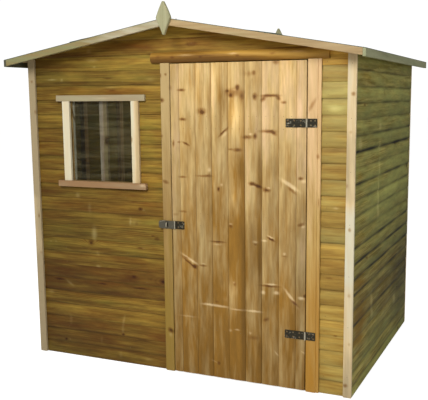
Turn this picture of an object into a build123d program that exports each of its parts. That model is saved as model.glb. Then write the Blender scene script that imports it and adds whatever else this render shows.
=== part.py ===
from build123d import *
import os
from math import cos, radians, tan

# Wooden garden shed with an apex roof, a boarded door and a fixed window.
# Millimetres. The origin is on the ground at the middle of the shed, +Z is up,
# and the front faces -Y.

# Overall sizes
shed_width = 2000.0
shed_depth = 1500.0
eaves_height = 1804.0
roof_pitch = 10.0
side_overhang = 73.0
end_overhang = 125.0
wall_ground_gap = 6.0

# Boards and framing
cladding_thickness = 12.0
trim_thickness = 16.0
corner_trim_width = 45.0
frame_depth = 30.0
stud_width = 42.0
back_stud_count = 4
side_stud_count = 4
rafter_depth = 35.0
middle_rafter_width = 42.0
ridge_beam_width = 30.0
ridge_beam_height = 70.0

# Floor
bearer_width = 45.0
bearer_height = 45.0
bearer_count = 4
floor_thickness = 12.0

# Roof covering and edges
roof_board_thickness = 12.0
felt_thickness = 2.5
bargeboard_height = 35.0
bargeboard_thickness = 16.0
eaves_board_height = 38.0
eaves_board_thickness = 16.0
finial_width = 86.0
finial_height = 190.0
finial_thickness = 20.0
finial_rise = 91.0
finial_upper_fullness = 0.56
finial_lower_fullness = 0.45
finial_point_radius = 6.0
finial_side_radius = 14.0
finial_bevel = 4.0

# Doorway, placed from the right-hand corner and hung below the eaves
panel_beside_door = 196.0
door_width = 784.0
door_bottom = 10.0
door_head_below_eaves = 37.0
door_gap = 5.0
door_thickness = 16.0
door_board_pitch = 97.0
door_groove_width = 6.0
door_groove_depth = 3.0
post_width = 56.0
post_tongue_width = 15.0
post_tongue_setback = 5.0
post_chamfer = 3.0
stud_stop = 8.0
head_board_height = 57.0
head_board_depth = 24.0
head_board_top_shoulder = 7.0
head_board_low_shoulder = 10.0
head_board_nose_drop = 4.0
head_board_run_past = 56.0
door_rail_height = 40.0

# Inside of the door
ledge_height = 90.0
ledge_thickness = 20.0
ledge_inset = 40.0
ledge_bevel = 6.0
brace_width = 70.0

# Window
window_from_corner = 285.0
window_from_post = 193.0
window_below_eaves = 241.0
window_height = 467.0
window_trim_width = 48.0
window_head_height = 35.0
window_sill_height = 35.0
window_sill_projection = 8.0
window_ear = 42.0
glass_setback = 34.0
glass_thickness = 3.0
glass_play = 0.3
mullion_width = 50.0
bead_size = 10.0

# Hinges, a pair on the right of the door
upper_hinge_from_top = 317.0
lower_hinge_from_bottom = 307.0
hinge_height = 45.0
hinge_door_leaf = 114.0
hinge_post_leaf = 56.0
hinge_plate = 2.0
hinge_knuckle_radius = 5.0
hinge_pin_radius = 2.5
hinge_pin_play = 0.15
hinge_knuckles = 5
hinge_knuckle_gap = 1.0
hinge_corner = 4.0

# Hasp and staple on the left of the door
hasp_height = 870.0
hasp_width = 45.0
hasp_plate_length = 60.0
hasp_strap_length = 101.0
hasp_plate = 2.0
hasp_pivot_inset = 15.0
hasp_knuckle_radius = 4.0
hasp_pin_radius = 1.8
hasp_pin_play = 0.15
hasp_knuckle_gap = 1.0
hasp_corner = 14.0
hasp_slot_side_play = 3.5
hasp_slot_end_play = 2.5
hasp_slot_corner = 4.5
staple_plate_size = 38.0
staple_wire = 5.0
staple_bend = 9.0
staple_spread = 24.0
staple_reach = 15.0

# Worked out from the sizes above
slope = tan(radians(roof_pitch))
upright = cos(radians(roof_pitch))
half_width = shed_width / 2
half_depth = shed_depth / 2
face_y = -half_depth
cladding_y = face_y + trim_thickness
frame_y = cladding_y + cladding_thickness
frame_back_y = frame_y + frame_depth
inner_x = half_width - cladding_thickness
roof_edge_x = half_width + side_overhang
roof_end_y = half_depth + end_overhang
floor_top = bearer_height + floor_thickness
sole_top = floor_top + stud_width
opening_right = half_width - panel_beside_door - post_width
opening_left = opening_right - door_width - 2 * door_gap
opening_top = eaves_height - door_head_below_eaves
door_left = opening_left + door_gap
door_right = door_left + door_width
door_top = opening_top - door_gap
window_left = -half_width + window_from_corner
window_right = opening_left - post_width - window_from_post
window_top = eaves_height - window_below_eaves
window_bottom = window_top - window_height
upper_hinge_height = door_top - upper_hinge_from_top
lower_hinge_height = door_bottom + lower_hinge_from_bottom
hinge_x = door_right + door_gap / 2
hinge_y = face_y - hinge_knuckle_radius
hasp_x = door_left + hasp_pivot_inset
hasp_y = face_y - hasp_knuckle_radius
staple_x = opening_left - post_width / 2


def under_roof(x):
    """Height of the roof boards' underside at a distance x from the middle."""
    return eaves_height + (half_width - abs(x)) * slope


def under_rafter(x):
    return under_roof(x) - rafter_depth / upright


def over_boards(x):
    return under_roof(x) + roof_board_thickness / upright


def block(x0, x1, y0, y1, z0, z1):
    """A straight piece of timber between two corners."""
    size = Box(x1 - x0, y1 - y0, z1 - z0)
    return Pos((x0 + x1) / 2, (y0 + y1) / 2, (z0 + z1) / 2) * size


def prism_y(points, y0, y1):
    """An outline in X and Z, carried along Y from y0 to y1."""
    outline = make_face(Polyline(*points, close=True))
    return extrude(Plane.XZ.offset(-y1) * outline, y1 - y0)


def prism_z(points, z0, z1):
    """An outline in X and Y, carried up Z from z0 to z1."""
    outline = make_face(Polyline(*points, close=True))
    return extrude(Plane.XY.offset(z0) * outline, z1 - z0)


def mirrored(solid):
    return mirror(solid, about=Plane.YZ)


def front_to_back(solid):
    return mirror(solid, about=Plane.XZ)


def save(name, *solids):
    shape = solids[0] if len(solids) == 1 else Compound(children=list(solids))
    shape.label = name
    export_step(shape, f"parts/{name}.step")


def sloped_panel(x0, x1, y0, y1, z0, top):
    """A panel whose top follows a line of the roof, over the ridge where it crosses it."""
    points = [(x0, z0), (x1, z0), (x1, top(x1))]
    if x0 < 0 < x1:
        points.append((0, top(0)))
    points.append((x0, top(x0)))
    return prism_y(points, y0, y1)


def make_floor():
    first = -inner_depth() + bearer_width / 2
    step = -2 * first / (bearer_count - 1)
    bearers = []
    for i in range(bearer_count):
        y = first + i * step
        bearers.append(block(-inner_x, inner_x, y - bearer_width / 2, y + bearer_width / 2,
                             0, bearer_height))
    save("floor_bearers", *bearers)
    save("floor_boards", block(-inner_x, inner_x, -inner_depth(), inner_depth(),
                               bearer_height, floor_top))


def inner_depth():
    """Half the depth between the inner faces of the front and back cladding."""
    return -frame_y


def make_walls():
    window = block(window_left, window_right, face_y, frame_back_y, window_bottom, window_top)
    left = sloped_panel(-inner_x, opening_left, cladding_y, frame_y, wall_ground_gap, under_roof)
    save("front_wall_left", left - window)
    save("front_wall_right",
         sloped_panel(opening_right, inner_x, cladding_y, frame_y, wall_ground_gap, under_roof))
    save("front_wall_over_door",
         sloped_panel(opening_left, opening_right, cladding_y, frame_y, opening_top, under_roof))
    save("back_wall",
         sloped_panel(-inner_x, inner_x, -frame_y, -cladding_y, wall_ground_gap, under_roof))
    right = sloped_panel(inner_x, half_width, cladding_y, -cladding_y, wall_ground_gap, under_roof)
    save("right_wall", right)
    save("left_wall", mirrored(right))


def stud(x0, x1, y0, y1):
    """A stud from the sole plate up to the rafter."""
    return sloped_panel(x0, x1, y0, y1, sole_top, under_rafter)


def make_front_frame():
    lefts = [-inner_x, window_left - stud_width, window_right,
             opening_left + stud_stop - stud_width, opening_right - stud_stop,
             inner_x - stud_width]
    save("front_studs", *[stud(x, x + stud_width, frame_y, frame_back_y) for x in lefts])
    save("front_sole_plates",
         block(-inner_x, opening_left + stud_stop, frame_y, frame_back_y, floor_top, sole_top),
         block(opening_right - stud_stop, inner_x, frame_y, frame_back_y, floor_top, sole_top))
    rail = block(opening_left + stud_stop, opening_right - stud_stop, frame_y, frame_back_y,
                 opening_top, opening_top + door_rail_height)
    save("door_rail", rail & sloped_panel(opening_left, opening_right, frame_y, frame_back_y,
                                          opening_top, under_rafter))
    save("window_rails",
         block(window_left, window_right, frame_y, frame_back_y,
               window_bottom - stud_width, window_bottom),
         block(window_left, window_right, frame_y, frame_back_y,
               window_top, window_top + stud_width))


def make_back_frame():
    first = -inner_x
    step = (2 * inner_x - stud_width) / (back_stud_count - 1)
    back0 = -frame_back_y
    back1 = -frame_y
    save("back_studs",
         *[stud(first + i * step, first + i * step + stud_width, back0, back1)
           for i in range(back_stud_count)])
    save("back_sole_plate", block(-inner_x, inner_x, back0, back1, floor_top, sole_top))


def make_side_frames():
    x0 = inner_x - frame_depth
    plate_bottom = under_rafter(inner_x) - stud_width
    step = (-2 * frame_back_y - stud_width) / (side_stud_count - 1)
    studs = []
    for i in range(side_stud_count):
        y = frame_back_y + i * step
        studs.append(block(x0, inner_x, y, y + stud_width, sole_top, plate_bottom))
    sole = block(x0, inner_x, frame_back_y, -frame_back_y, floor_top, sole_top)
    top = sloped_panel(x0, inner_x, frame_back_y, -frame_back_y, plate_bottom, under_rafter)
    save("side_wall_studs", *studs, *[mirrored(s) for s in studs])
    save("side_wall_plates", sole, top, mirrored(sole), mirrored(top))


def rafter(y0, y1):
    """The right-hand rafter between the ridge beam and the side cladding."""
    x0 = ridge_beam_width / 2
    points = [(x0, under_rafter(x0)), (inner_x, under_rafter(inner_x)),
              (inner_x, under_roof(inner_x)), (x0, under_roof(x0))]
    return prism_y(points, y0, y1)


def make_roof_frame():
    half = middle_rafter_width / 2
    right = [rafter(frame_y, frame_back_y), rafter(-half, half), rafter(-frame_back_y, -frame_y)]
    save("rafters_right", *right)
    save("rafters_left", *[mirrored(r) for r in right])
    beam = sloped_panel(-ridge_beam_width / 2, ridge_beam_width / 2, frame_y, -frame_y,
                        under_roof(0) - ridge_beam_height, under_roof)
    save("ridge_beam", beam)


def roof_layer(bottom, thickness, edge_x, end_y):
    """One sloping layer of the right half of the roof, cut plumb at ridge and eaves."""
    rise = thickness / upright
    points = [(0, bottom(0)), (edge_x, bottom(edge_x)),
              (edge_x, bottom(edge_x) + rise), (0, bottom(0) + rise)]
    return prism_y(points, -end_y, end_y)


def make_roof_covering():
    boards = roof_layer(under_roof, roof_board_thickness, roof_edge_x - eaves_board_thickness,
                        roof_end_y - bargeboard_thickness)
    felt = roof_layer(over_boards, felt_thickness, roof_edge_x, roof_end_y)
    save("roof_boards_right", boards)
    save("roof_boards_left", mirrored(boards))
    save("roof_felt_right", felt)
    save("roof_felt_left", mirrored(felt))


def make_roof_edges():
    """Bargeboards up each gable, between eaves boards whose ends show at the front and back."""
    x0 = roof_edge_x - eaves_board_thickness
    points = [(0, over_boards(0) - bargeboard_height), (x0, over_boards(x0) - bargeboard_height),
              (x0, over_boards(x0)), (0, over_boards(0))]
    front = prism_y(points, -roof_end_y, -roof_end_y + bargeboard_thickness)
    back = front_to_back(front)
    save("bargeboards_right", front, back)
    save("bargeboards_left", mirrored(front), mirrored(back))
    low = over_boards(roof_edge_x) - eaves_board_height
    board = sloped_panel(x0, roof_edge_x, -roof_end_y, roof_end_y, low, over_boards)
    save("eaves_boards", board, mirrored(board))


def make_finials():
    """A leaf-shaped finial: full curves up to the tip, slightly hollow ones down to the point.

    Its rise and height reach to where its points would be if they weren't rounded.
    """
    wide = over_boards(0)
    tip = wide + finial_rise
    point = tip - finial_height
    half = finial_width / 2
    right = [Spline((0, tip), (half * finial_upper_fullness, (tip + wide) / 2), (half, wide)),
             Spline((half, wide), (half * finial_lower_fullness, (wide + point) / 2), (0, point))]
    left = [mirror(edge, about=Plane.YZ) for edge in right]
    outline = make_face(Curve() + right + left)
    corners = outline.vertices().sort_by(Axis.Y)
    outline = fillet(corners[1:3], radius=finial_side_radius)
    corners = outline.vertices().sort_by(Axis.Y)
    outline = fillet([corners[0], corners[-1]], radius=finial_point_radius)
    face_at = Plane.XZ.offset(roof_end_y)
    plate = extrude(face_at * outline, finial_thickness)
    front_edges = plate.faces().sort_by(Axis.Y)[0].edges()
    front = chamfer(front_edges, length=finial_bevel)
    save("finials", front, front_to_back(front))


def make_corner_trims():
    trims = []
    for side in (-1, 1):
        outer = side * half_width
        inner = side * (half_width - corner_trim_width)
        x0, x1 = min(outer, inner), max(outer, inner)
        trims.append(sloped_panel(x0, x1, face_y, cladding_y, wall_ground_gap, under_roof))
    save("corner_trims", *trims, *[front_to_back(t) for t in trims])


def make_door_surround():
    c = post_chamfer
    left_edge = opening_left - post_width
    plank = prism_z([(left_edge, cladding_y), (left_edge, face_y + c), (left_edge + c, face_y),
                     (opening_left - c, face_y), (opening_left, face_y + c),
                     (opening_left, cladding_y)], wall_ground_gap, opening_top)
    save("door_post_left", plank)
    right_edge = opening_right + post_width
    tongue = right_edge + post_tongue_width
    tongue_y = face_y + post_tongue_setback
    save("door_post_right",
         prism_z([(opening_right, cladding_y), (opening_right, face_y + c),
                  (opening_right + c, face_y), (right_edge - c, face_y),
                  (right_edge, tongue_y), (tongue, tongue_y), (tongue, cladding_y)],
                 wall_ground_gap, opening_top))
    x0 = left_edge - head_board_run_past
    x1 = right_edge + head_board_run_past
    z0 = opening_top
    z1 = opening_top + head_board_height
    front = cladding_y - head_board_depth
    low_edge = (cladding_y - head_board_low_shoulder, z0)
    top_edge = (cladding_y - head_board_top_shoulder, z1)
    bulge = ThreePointArc(low_edge, (front, (z0 + z1) / 2 - head_board_nose_drop), top_edge)
    back = Polyline(top_edge, (cladding_y, z1), (cladding_y, z0), low_edge)
    section = make_face(bulge + back)
    board = extrude(Plane.YZ.offset(x0) * section, x1 - x0)
    save("door_head_board", board & sloped_panel(x0, x1, front - head_board_depth, cladding_y,
                                                 z0, under_roof))


def make_window():
    head = block(window_left - window_trim_width - window_ear,
                 window_right + window_trim_width + window_ear, face_y, cladding_y,
                 window_top, window_top + window_head_height)
    sill = block(window_left - window_trim_width - window_ear,
                 window_right + window_trim_width + window_ear,
                 face_y - window_sill_projection, cladding_y,
                 window_bottom - window_sill_height, window_bottom)
    save("window_head_and_sill", head, sill)
    save("window_sides",
         block(window_left - window_trim_width, window_left, face_y, cladding_y,
               window_bottom, window_top),
         block(window_right, window_right + window_trim_width, face_y, cladding_y,
               window_bottom, window_top))
    glass_y = face_y + glass_setback
    glass_back = glass_y + glass_thickness
    save("window_glass",
         block(window_left + glass_play, window_right - glass_play, glass_y, glass_back,
               window_bottom + glass_play, window_top - glass_play))
    middle = (window_left + window_right) / 2
    bead_y = glass_back + glass_play
    save("window_mullion",
         block(middle - mullion_width / 2, middle + mullion_width / 2, bead_y, frame_back_y,
               window_bottom, window_top))
    save("glazing_beads",
         block(window_left, window_left + bead_size, bead_y, bead_y + bead_size,
               window_bottom, window_top),
         block(window_right - bead_size, window_right, bead_y, bead_y + bead_size,
               window_bottom, window_top))


def make_door():
    """Upright boards with V joints, three ledges across the back and two braces."""
    face = face_y
    back = face_y + door_thickness
    half = door_groove_width / 2
    full_boards = int(door_width // door_board_pitch) - 1
    first = door_left + (door_width - full_boards * door_board_pitch) / 2
    points = [(door_left, back), (door_left, face)]
    for i in range(full_boards + 1):
        x = first + i * door_board_pitch
        points += [(x - half, face), (x, face + door_groove_depth), (x + half, face)]
    points += [(door_right, face), (door_right, back)]
    save("door_boards", prism_z(points, door_bottom, door_top))

    x0 = door_left + ledge_inset
    x1 = door_right - ledge_inset
    heights = [lower_hinge_height, hasp_height, upper_hinge_height]
    ledges = []
    for z in heights:
        ledge = block(x0, x1, back, back + ledge_thickness, z - ledge_height / 2,
                      z + ledge_height / 2)
        inner = ledge.faces().sort_by(Axis.Y)[-1].edges().filter_by(Axis.X)
        ledges.append(chamfer(inner, length=ledge_bevel))
    save("door_ledges", *ledges)

    braces = []
    for low, high in zip(heights[:-1], heights[1:]):
        z0 = low + ledge_height / 2
        z1 = high - ledge_height / 2
        foot = x1 - ledge_inset
        top = x0 + ledge_inset
        lean = brace_width * ((foot - top) ** 2 + (z1 - z0) ** 2) ** 0.5 / (z1 - z0)
        braces.append(prism_y([(foot, z0), (foot - lean, z0), (top, z1), (top + lean, z1)],
                              back, back + ledge_thickness))
    save("door_braces", *braces)


def barrel(x, y, radius, z0, z1):
    return Pos(x, y, (z0 + z1) / 2) * Cylinder(radius, z1 - z0)


def leaf_plate(x0, x1, y0, y1, z, height):
    """A flat leaf with rounded corners."""
    plate = block(x0, x1, y0, y1, z - height / 2, z + height / 2)
    return fillet(plate.edges().filter_by(Axis.Y), radius=hinge_corner)


def hinge_barrels(z, first):
    """Every second knuckle of the hinge, counted up from the first one given."""
    pitch = hinge_height / hinge_knuckles
    bottom = z - hinge_height / 2
    barrels = []
    for i in range(first, hinge_knuckles, 2):
        z0 = bottom + i * pitch + hinge_knuckle_gap / 2
        z1 = bottom + (i + 1) * pitch - hinge_knuckle_gap / 2
        barrels.append(barrel(hinge_x, hinge_y, hinge_knuckle_radius, z0, z1))
    return barrels


def hinge_pair(z):
    """A door leaf and a post leaf on one pin, lying on the outer faces."""
    plate_y = face_y - hinge_plate
    clear = hinge_knuckle_radius + hinge_knuckle_gap
    bottom = z - hinge_height / 2
    top = z + hinge_height / 2
    pin = barrel(hinge_x, hinge_y, hinge_pin_radius, bottom, top)

    door_leaf = leaf_plate(hinge_x - hinge_door_leaf, hinge_x - clear, plate_y, face_y, z,
                           hinge_height)
    for piece in hinge_barrels(z, 1):
        door_leaf += piece + knuckle_root(piece, -1)
    bore = barrel(hinge_x, hinge_y, hinge_pin_radius + hinge_pin_play, bottom, top)
    door_leaf -= bore

    post_leaf = leaf_plate(hinge_x + clear, hinge_x + hinge_post_leaf, plate_y, face_y, z,
                           hinge_height)
    for piece in hinge_barrels(z, 0):
        post_leaf += piece + knuckle_root(piece, 1)
    return door_leaf, post_leaf + pin


def knuckle_root(piece, side):
    """The flat of the leaf that runs into one knuckle, to the left or the right of it."""
    box = piece.bounding_box()
    reach = hinge_knuckle_radius + 2 * hinge_knuckle_gap + hinge_corner
    x0, x1 = sorted((hinge_x, hinge_x + side * reach))
    return block(x0, x1, face_y - hinge_plate, face_y, box.min.Z, box.max.Z)


def make_hinges():
    lower_door, lower_post = hinge_pair(lower_hinge_height)
    upper_door, upper_post = hinge_pair(upper_hinge_height)
    save("hinge_door_leaves", lower_door, upper_door)
    save("hinge_post_leaves", lower_post, upper_post)


def make_hasp():
    """A slotted strap that hinges on a plate on the door and drops over a staple."""
    z = hasp_height
    z0 = z - hasp_width / 2
    z1 = z + hasp_width / 2
    third = hasp_width / 3
    plate_y = face_y - hasp_plate
    clear = hasp_knuckle_radius + hasp_knuckle_gap
    reach = clear + hinge_corner + hasp_knuckle_gap
    gap = hasp_knuckle_gap / 2

    plate = leaf_plate(hasp_x + clear, hasp_x + hasp_plate_length, plate_y, face_y, z,
                       hasp_width)
    for low, high in ((z0, z0 + third - gap), (z1 - third + gap, z1)):
        plate += barrel(hasp_x, hasp_y, hasp_knuckle_radius, low, high)
        plate += block(hasp_x, hasp_x + reach, plate_y, face_y, low, high)
    plate += barrel(hasp_x, hasp_y, hasp_pin_radius, z0, z1)
    save("hasp_plate", plate)

    strap_end = hasp_x - hasp_strap_length
    strap_y0 = hasp_y - hasp_plate / 2
    strap_y1 = hasp_y + hasp_plate / 2
    strap = block(strap_end, hasp_x - clear, strap_y0, strap_y1, z0, z1)
    strap = fillet(strap.edges().filter_by(Axis.Y).group_by(Axis.X)[0], radius=hasp_corner)
    slot_x = staple_wire / 2 + hasp_slot_side_play
    slot_z = (staple_spread + staple_wire) / 2 + hasp_slot_end_play
    slot = block(staple_x - slot_x, staple_x + slot_x, strap_y0 - hasp_plate,
                 strap_y1 + hasp_plate, z - slot_z, z + slot_z)
    slot = fillet(slot.edges().filter_by(Axis.Y), radius=hasp_slot_corner)
    strap -= slot
    strap += barrel(hasp_x, hasp_y, hasp_knuckle_radius, z0 + third + gap, z1 - third - gap)
    strap += block(hasp_x - clear, hasp_x, strap_y0, strap_y1, z0 + third + gap, z1 - third - gap)
    strap -= barrel(hasp_x, hasp_y, hasp_pin_radius + hasp_pin_play, z0, z1)
    save("hasp_strap", strap)

    half = staple_spread / 2
    bar = staple_wire / 2
    tip = face_y - hasp_plate - staple_reach
    outer = RectangleRounded(2 * (half + bar), 2 * (half + bar), staple_bend)
    inner = RectangleRounded(2 * (half - bar), 2 * (half - bar), staple_bend - staple_wire)
    ring = extrude(Plane.YZ.offset(staple_x - bar) * Pos(tip + half + bar, z) * (outer - inner),
                   staple_wire)
    loop = ring & block(staple_x - staple_wire, staple_x + staple_wire, tip - staple_wire,
                        plate_y + hasp_plate / 2, z0, z1)
    base = leaf_plate(staple_x - staple_plate_size / 2, staple_x + staple_plate_size / 2,
                      plate_y, face_y, z, staple_plate_size)
    save("hasp_staple", base + loop)


if __name__ == "__main__":
    os.makedirs("parts", exist_ok=True)
    make_floor()
    make_walls()
    make_front_frame()
    make_back_frame()
    make_side_frames()
    make_roof_frame()
    make_roof_covering()
    make_roof_edges()
    make_finials()
    make_corner_trims()
    make_door_surround()
    make_window()
    make_door()
    make_hinges()
    make_hasp()
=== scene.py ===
"""Wooden garden shed: its boards, knots, felt, nails and finishes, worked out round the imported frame."""

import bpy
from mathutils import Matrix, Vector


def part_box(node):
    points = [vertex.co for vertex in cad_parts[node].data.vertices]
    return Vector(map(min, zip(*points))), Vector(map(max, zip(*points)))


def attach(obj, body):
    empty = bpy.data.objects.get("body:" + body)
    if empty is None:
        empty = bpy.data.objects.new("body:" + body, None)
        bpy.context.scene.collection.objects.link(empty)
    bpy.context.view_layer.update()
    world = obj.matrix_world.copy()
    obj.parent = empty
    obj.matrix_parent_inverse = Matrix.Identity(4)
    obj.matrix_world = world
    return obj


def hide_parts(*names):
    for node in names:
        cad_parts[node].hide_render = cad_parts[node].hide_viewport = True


bl_info = {
    "name": "Wooden garden shed",
    "version": (1, 0, 0),
    "blender": (4, 5, 0),
    "location": "View3D > Sidebar > Shed",
    "description": "Dresses the frame of a small garden shed in boards, felt and ironmongery",
    "category": "Add Mesh",
}

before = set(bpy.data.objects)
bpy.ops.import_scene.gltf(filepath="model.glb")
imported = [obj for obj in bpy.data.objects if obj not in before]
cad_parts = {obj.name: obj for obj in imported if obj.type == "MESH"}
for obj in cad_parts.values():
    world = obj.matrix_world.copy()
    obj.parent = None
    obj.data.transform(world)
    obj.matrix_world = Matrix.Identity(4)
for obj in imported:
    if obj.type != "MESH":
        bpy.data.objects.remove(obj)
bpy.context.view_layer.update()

import math
from collections import namedtuple

import bpy
import numpy as np
from bpy.props import FloatProperty, FloatVectorProperty, IntProperty, PointerProperty
from mathutils import Matrix, Vector

PHOTO_WIDTH = 428
SENSOR_WIDTH = 36.0
MILLIMETRES = 1000
# The way that the shed's front faces
OUTWARD = (0, -1, 0)
# The soft ellipse of a mark reaches this much past its listed half sizes
MARK_SPREAD = 1.3
KNOT_RADIUS = 0.009
# Length of a board between two of its cross sections, on the walls and elsewhere
BOARD_STATION = 0.035
PLANK_STATION = 0.04


def side_of(node, which, axis):
    """One side of a node's box: which is 0 for the low side and 1 for the high one."""
    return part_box(node)[which]["xyz".index(axis)]


# Places read from the frame
half_width = side_of("right_wall", 1, "x")
inner_half = side_of("right_wall", 0, "x")
wall_face = side_of("front_wall_left", 0, "y")
wall_back = side_of("front_wall_left", 1, "y")
wall_foot = side_of("front_wall_left", 0, "z")
board_thickness = wall_back - wall_face
opening_left = side_of("front_wall_left", 1, "x")
opening_right = side_of("front_wall_right", 0, "x")
opening_top = side_of("front_wall_over_door", 0, "z")
window_left = side_of("window_rails", 0, "x")
window_right = side_of("window_rails", 1, "x")
window_foot = side_of("window_sides", 0, "z")
window_head = side_of("window_sides", 1, "z")
roof_edge = side_of("roof_felt_right", 1, "x")
roof_end = side_of("roof_felt_right", 1, "y")
boards_edge = side_of("roof_boards_right", 1, "x")
boards_end = side_of("roof_boards_right", 1, "y")
ridge = side_of("roof_boards_right", 1, "z")
slope = (ridge - side_of("roof_felt_right", 0, "z")) / roof_edge
roof_rise = ridge - slope * boards_edge - side_of("roof_boards_right", 0, "z")
pitch = math.atan(slope)
eaves = ridge - roof_rise - slope * half_width


def linear(red, green, blue):
    """The scene colour of a screen colour given in 0 to 255."""
    parts = np.array([red, green, blue]) / 255
    return tuple(np.where(parts < 0.04045, parts / 12.92, ((parts + 0.055) / 1.055) ** 2.4))


def length(name, description, default):
    """A length in metres for the sidebar."""
    return FloatProperty(name=name, description=description, default=default, unit="LENGTH",
                         precision=4)


def colour(name, description, red, green, blue):
    """A colour for the sidebar, from its screen values of 0 to 255."""
    return FloatVectorProperty(name=name, description=description, subtype="COLOR", size=3,
                               min=0.0, max=1.0, default=linear(red, green, blue))


class ShedSizes(bpy.types.PropertyGroup):
    course: length("Course", "Height of wall that one cladding board covers", 0.0826)
    side_course_shift: length("Side course shift", "How far the side courses stand above the front's",
                              -0.024)
    board_lean: length("Board lean", "How far a cladding board's face falls back towards its top", 0.0052)
    lip_round: length("Lip round", "How far a cladding board's lower edge is rounded back", 0.0012)
    tongue: length("Tongue", "Height of the tongue behind the board above", 0.008)
    joint_gap: length("Joint gap", "Clearance between boards that meet", 0.0003)
    plank_bow: length("Plank bow", "How far a door board's face stands proud in its middle", 0.0020)
    joint_width: length("Joint width", "Half the width of a V joint", 0.003)
    joint_depth: length("Joint depth", "Depth of a V joint in the door", 0.0042)
    door_board: length("Door board", "Width that one door board covers", 0.097)
    floor_board: length("Floor board", "Width that one floor board covers", 0.1235)
    roof_board: length("Roof board", "Width that one roof board covers", 0.095)
    felt_strip: length("Felt strip", "Width of a strip of felt up the slope", 0.55)
    felt_overlap: length("Felt overlap", "How far a strip of felt lies over the one below", 0.075)
    edge_round: length("Edge round", "Rounding of the edges of planed timber", 0.0015)
    nail_head: length("Nail head", "Radius of a cladding nail's head", 0.0017)
    clout_head: length("Clout head", "Radius of a felt nail's head", 0.005)
    screw_head: length("Screw head", "Radius of a hinge screw's head", 0.0042)
    seed: IntProperty(name="Seed", description="Picks the grain and tone of each board", default=11)


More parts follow.
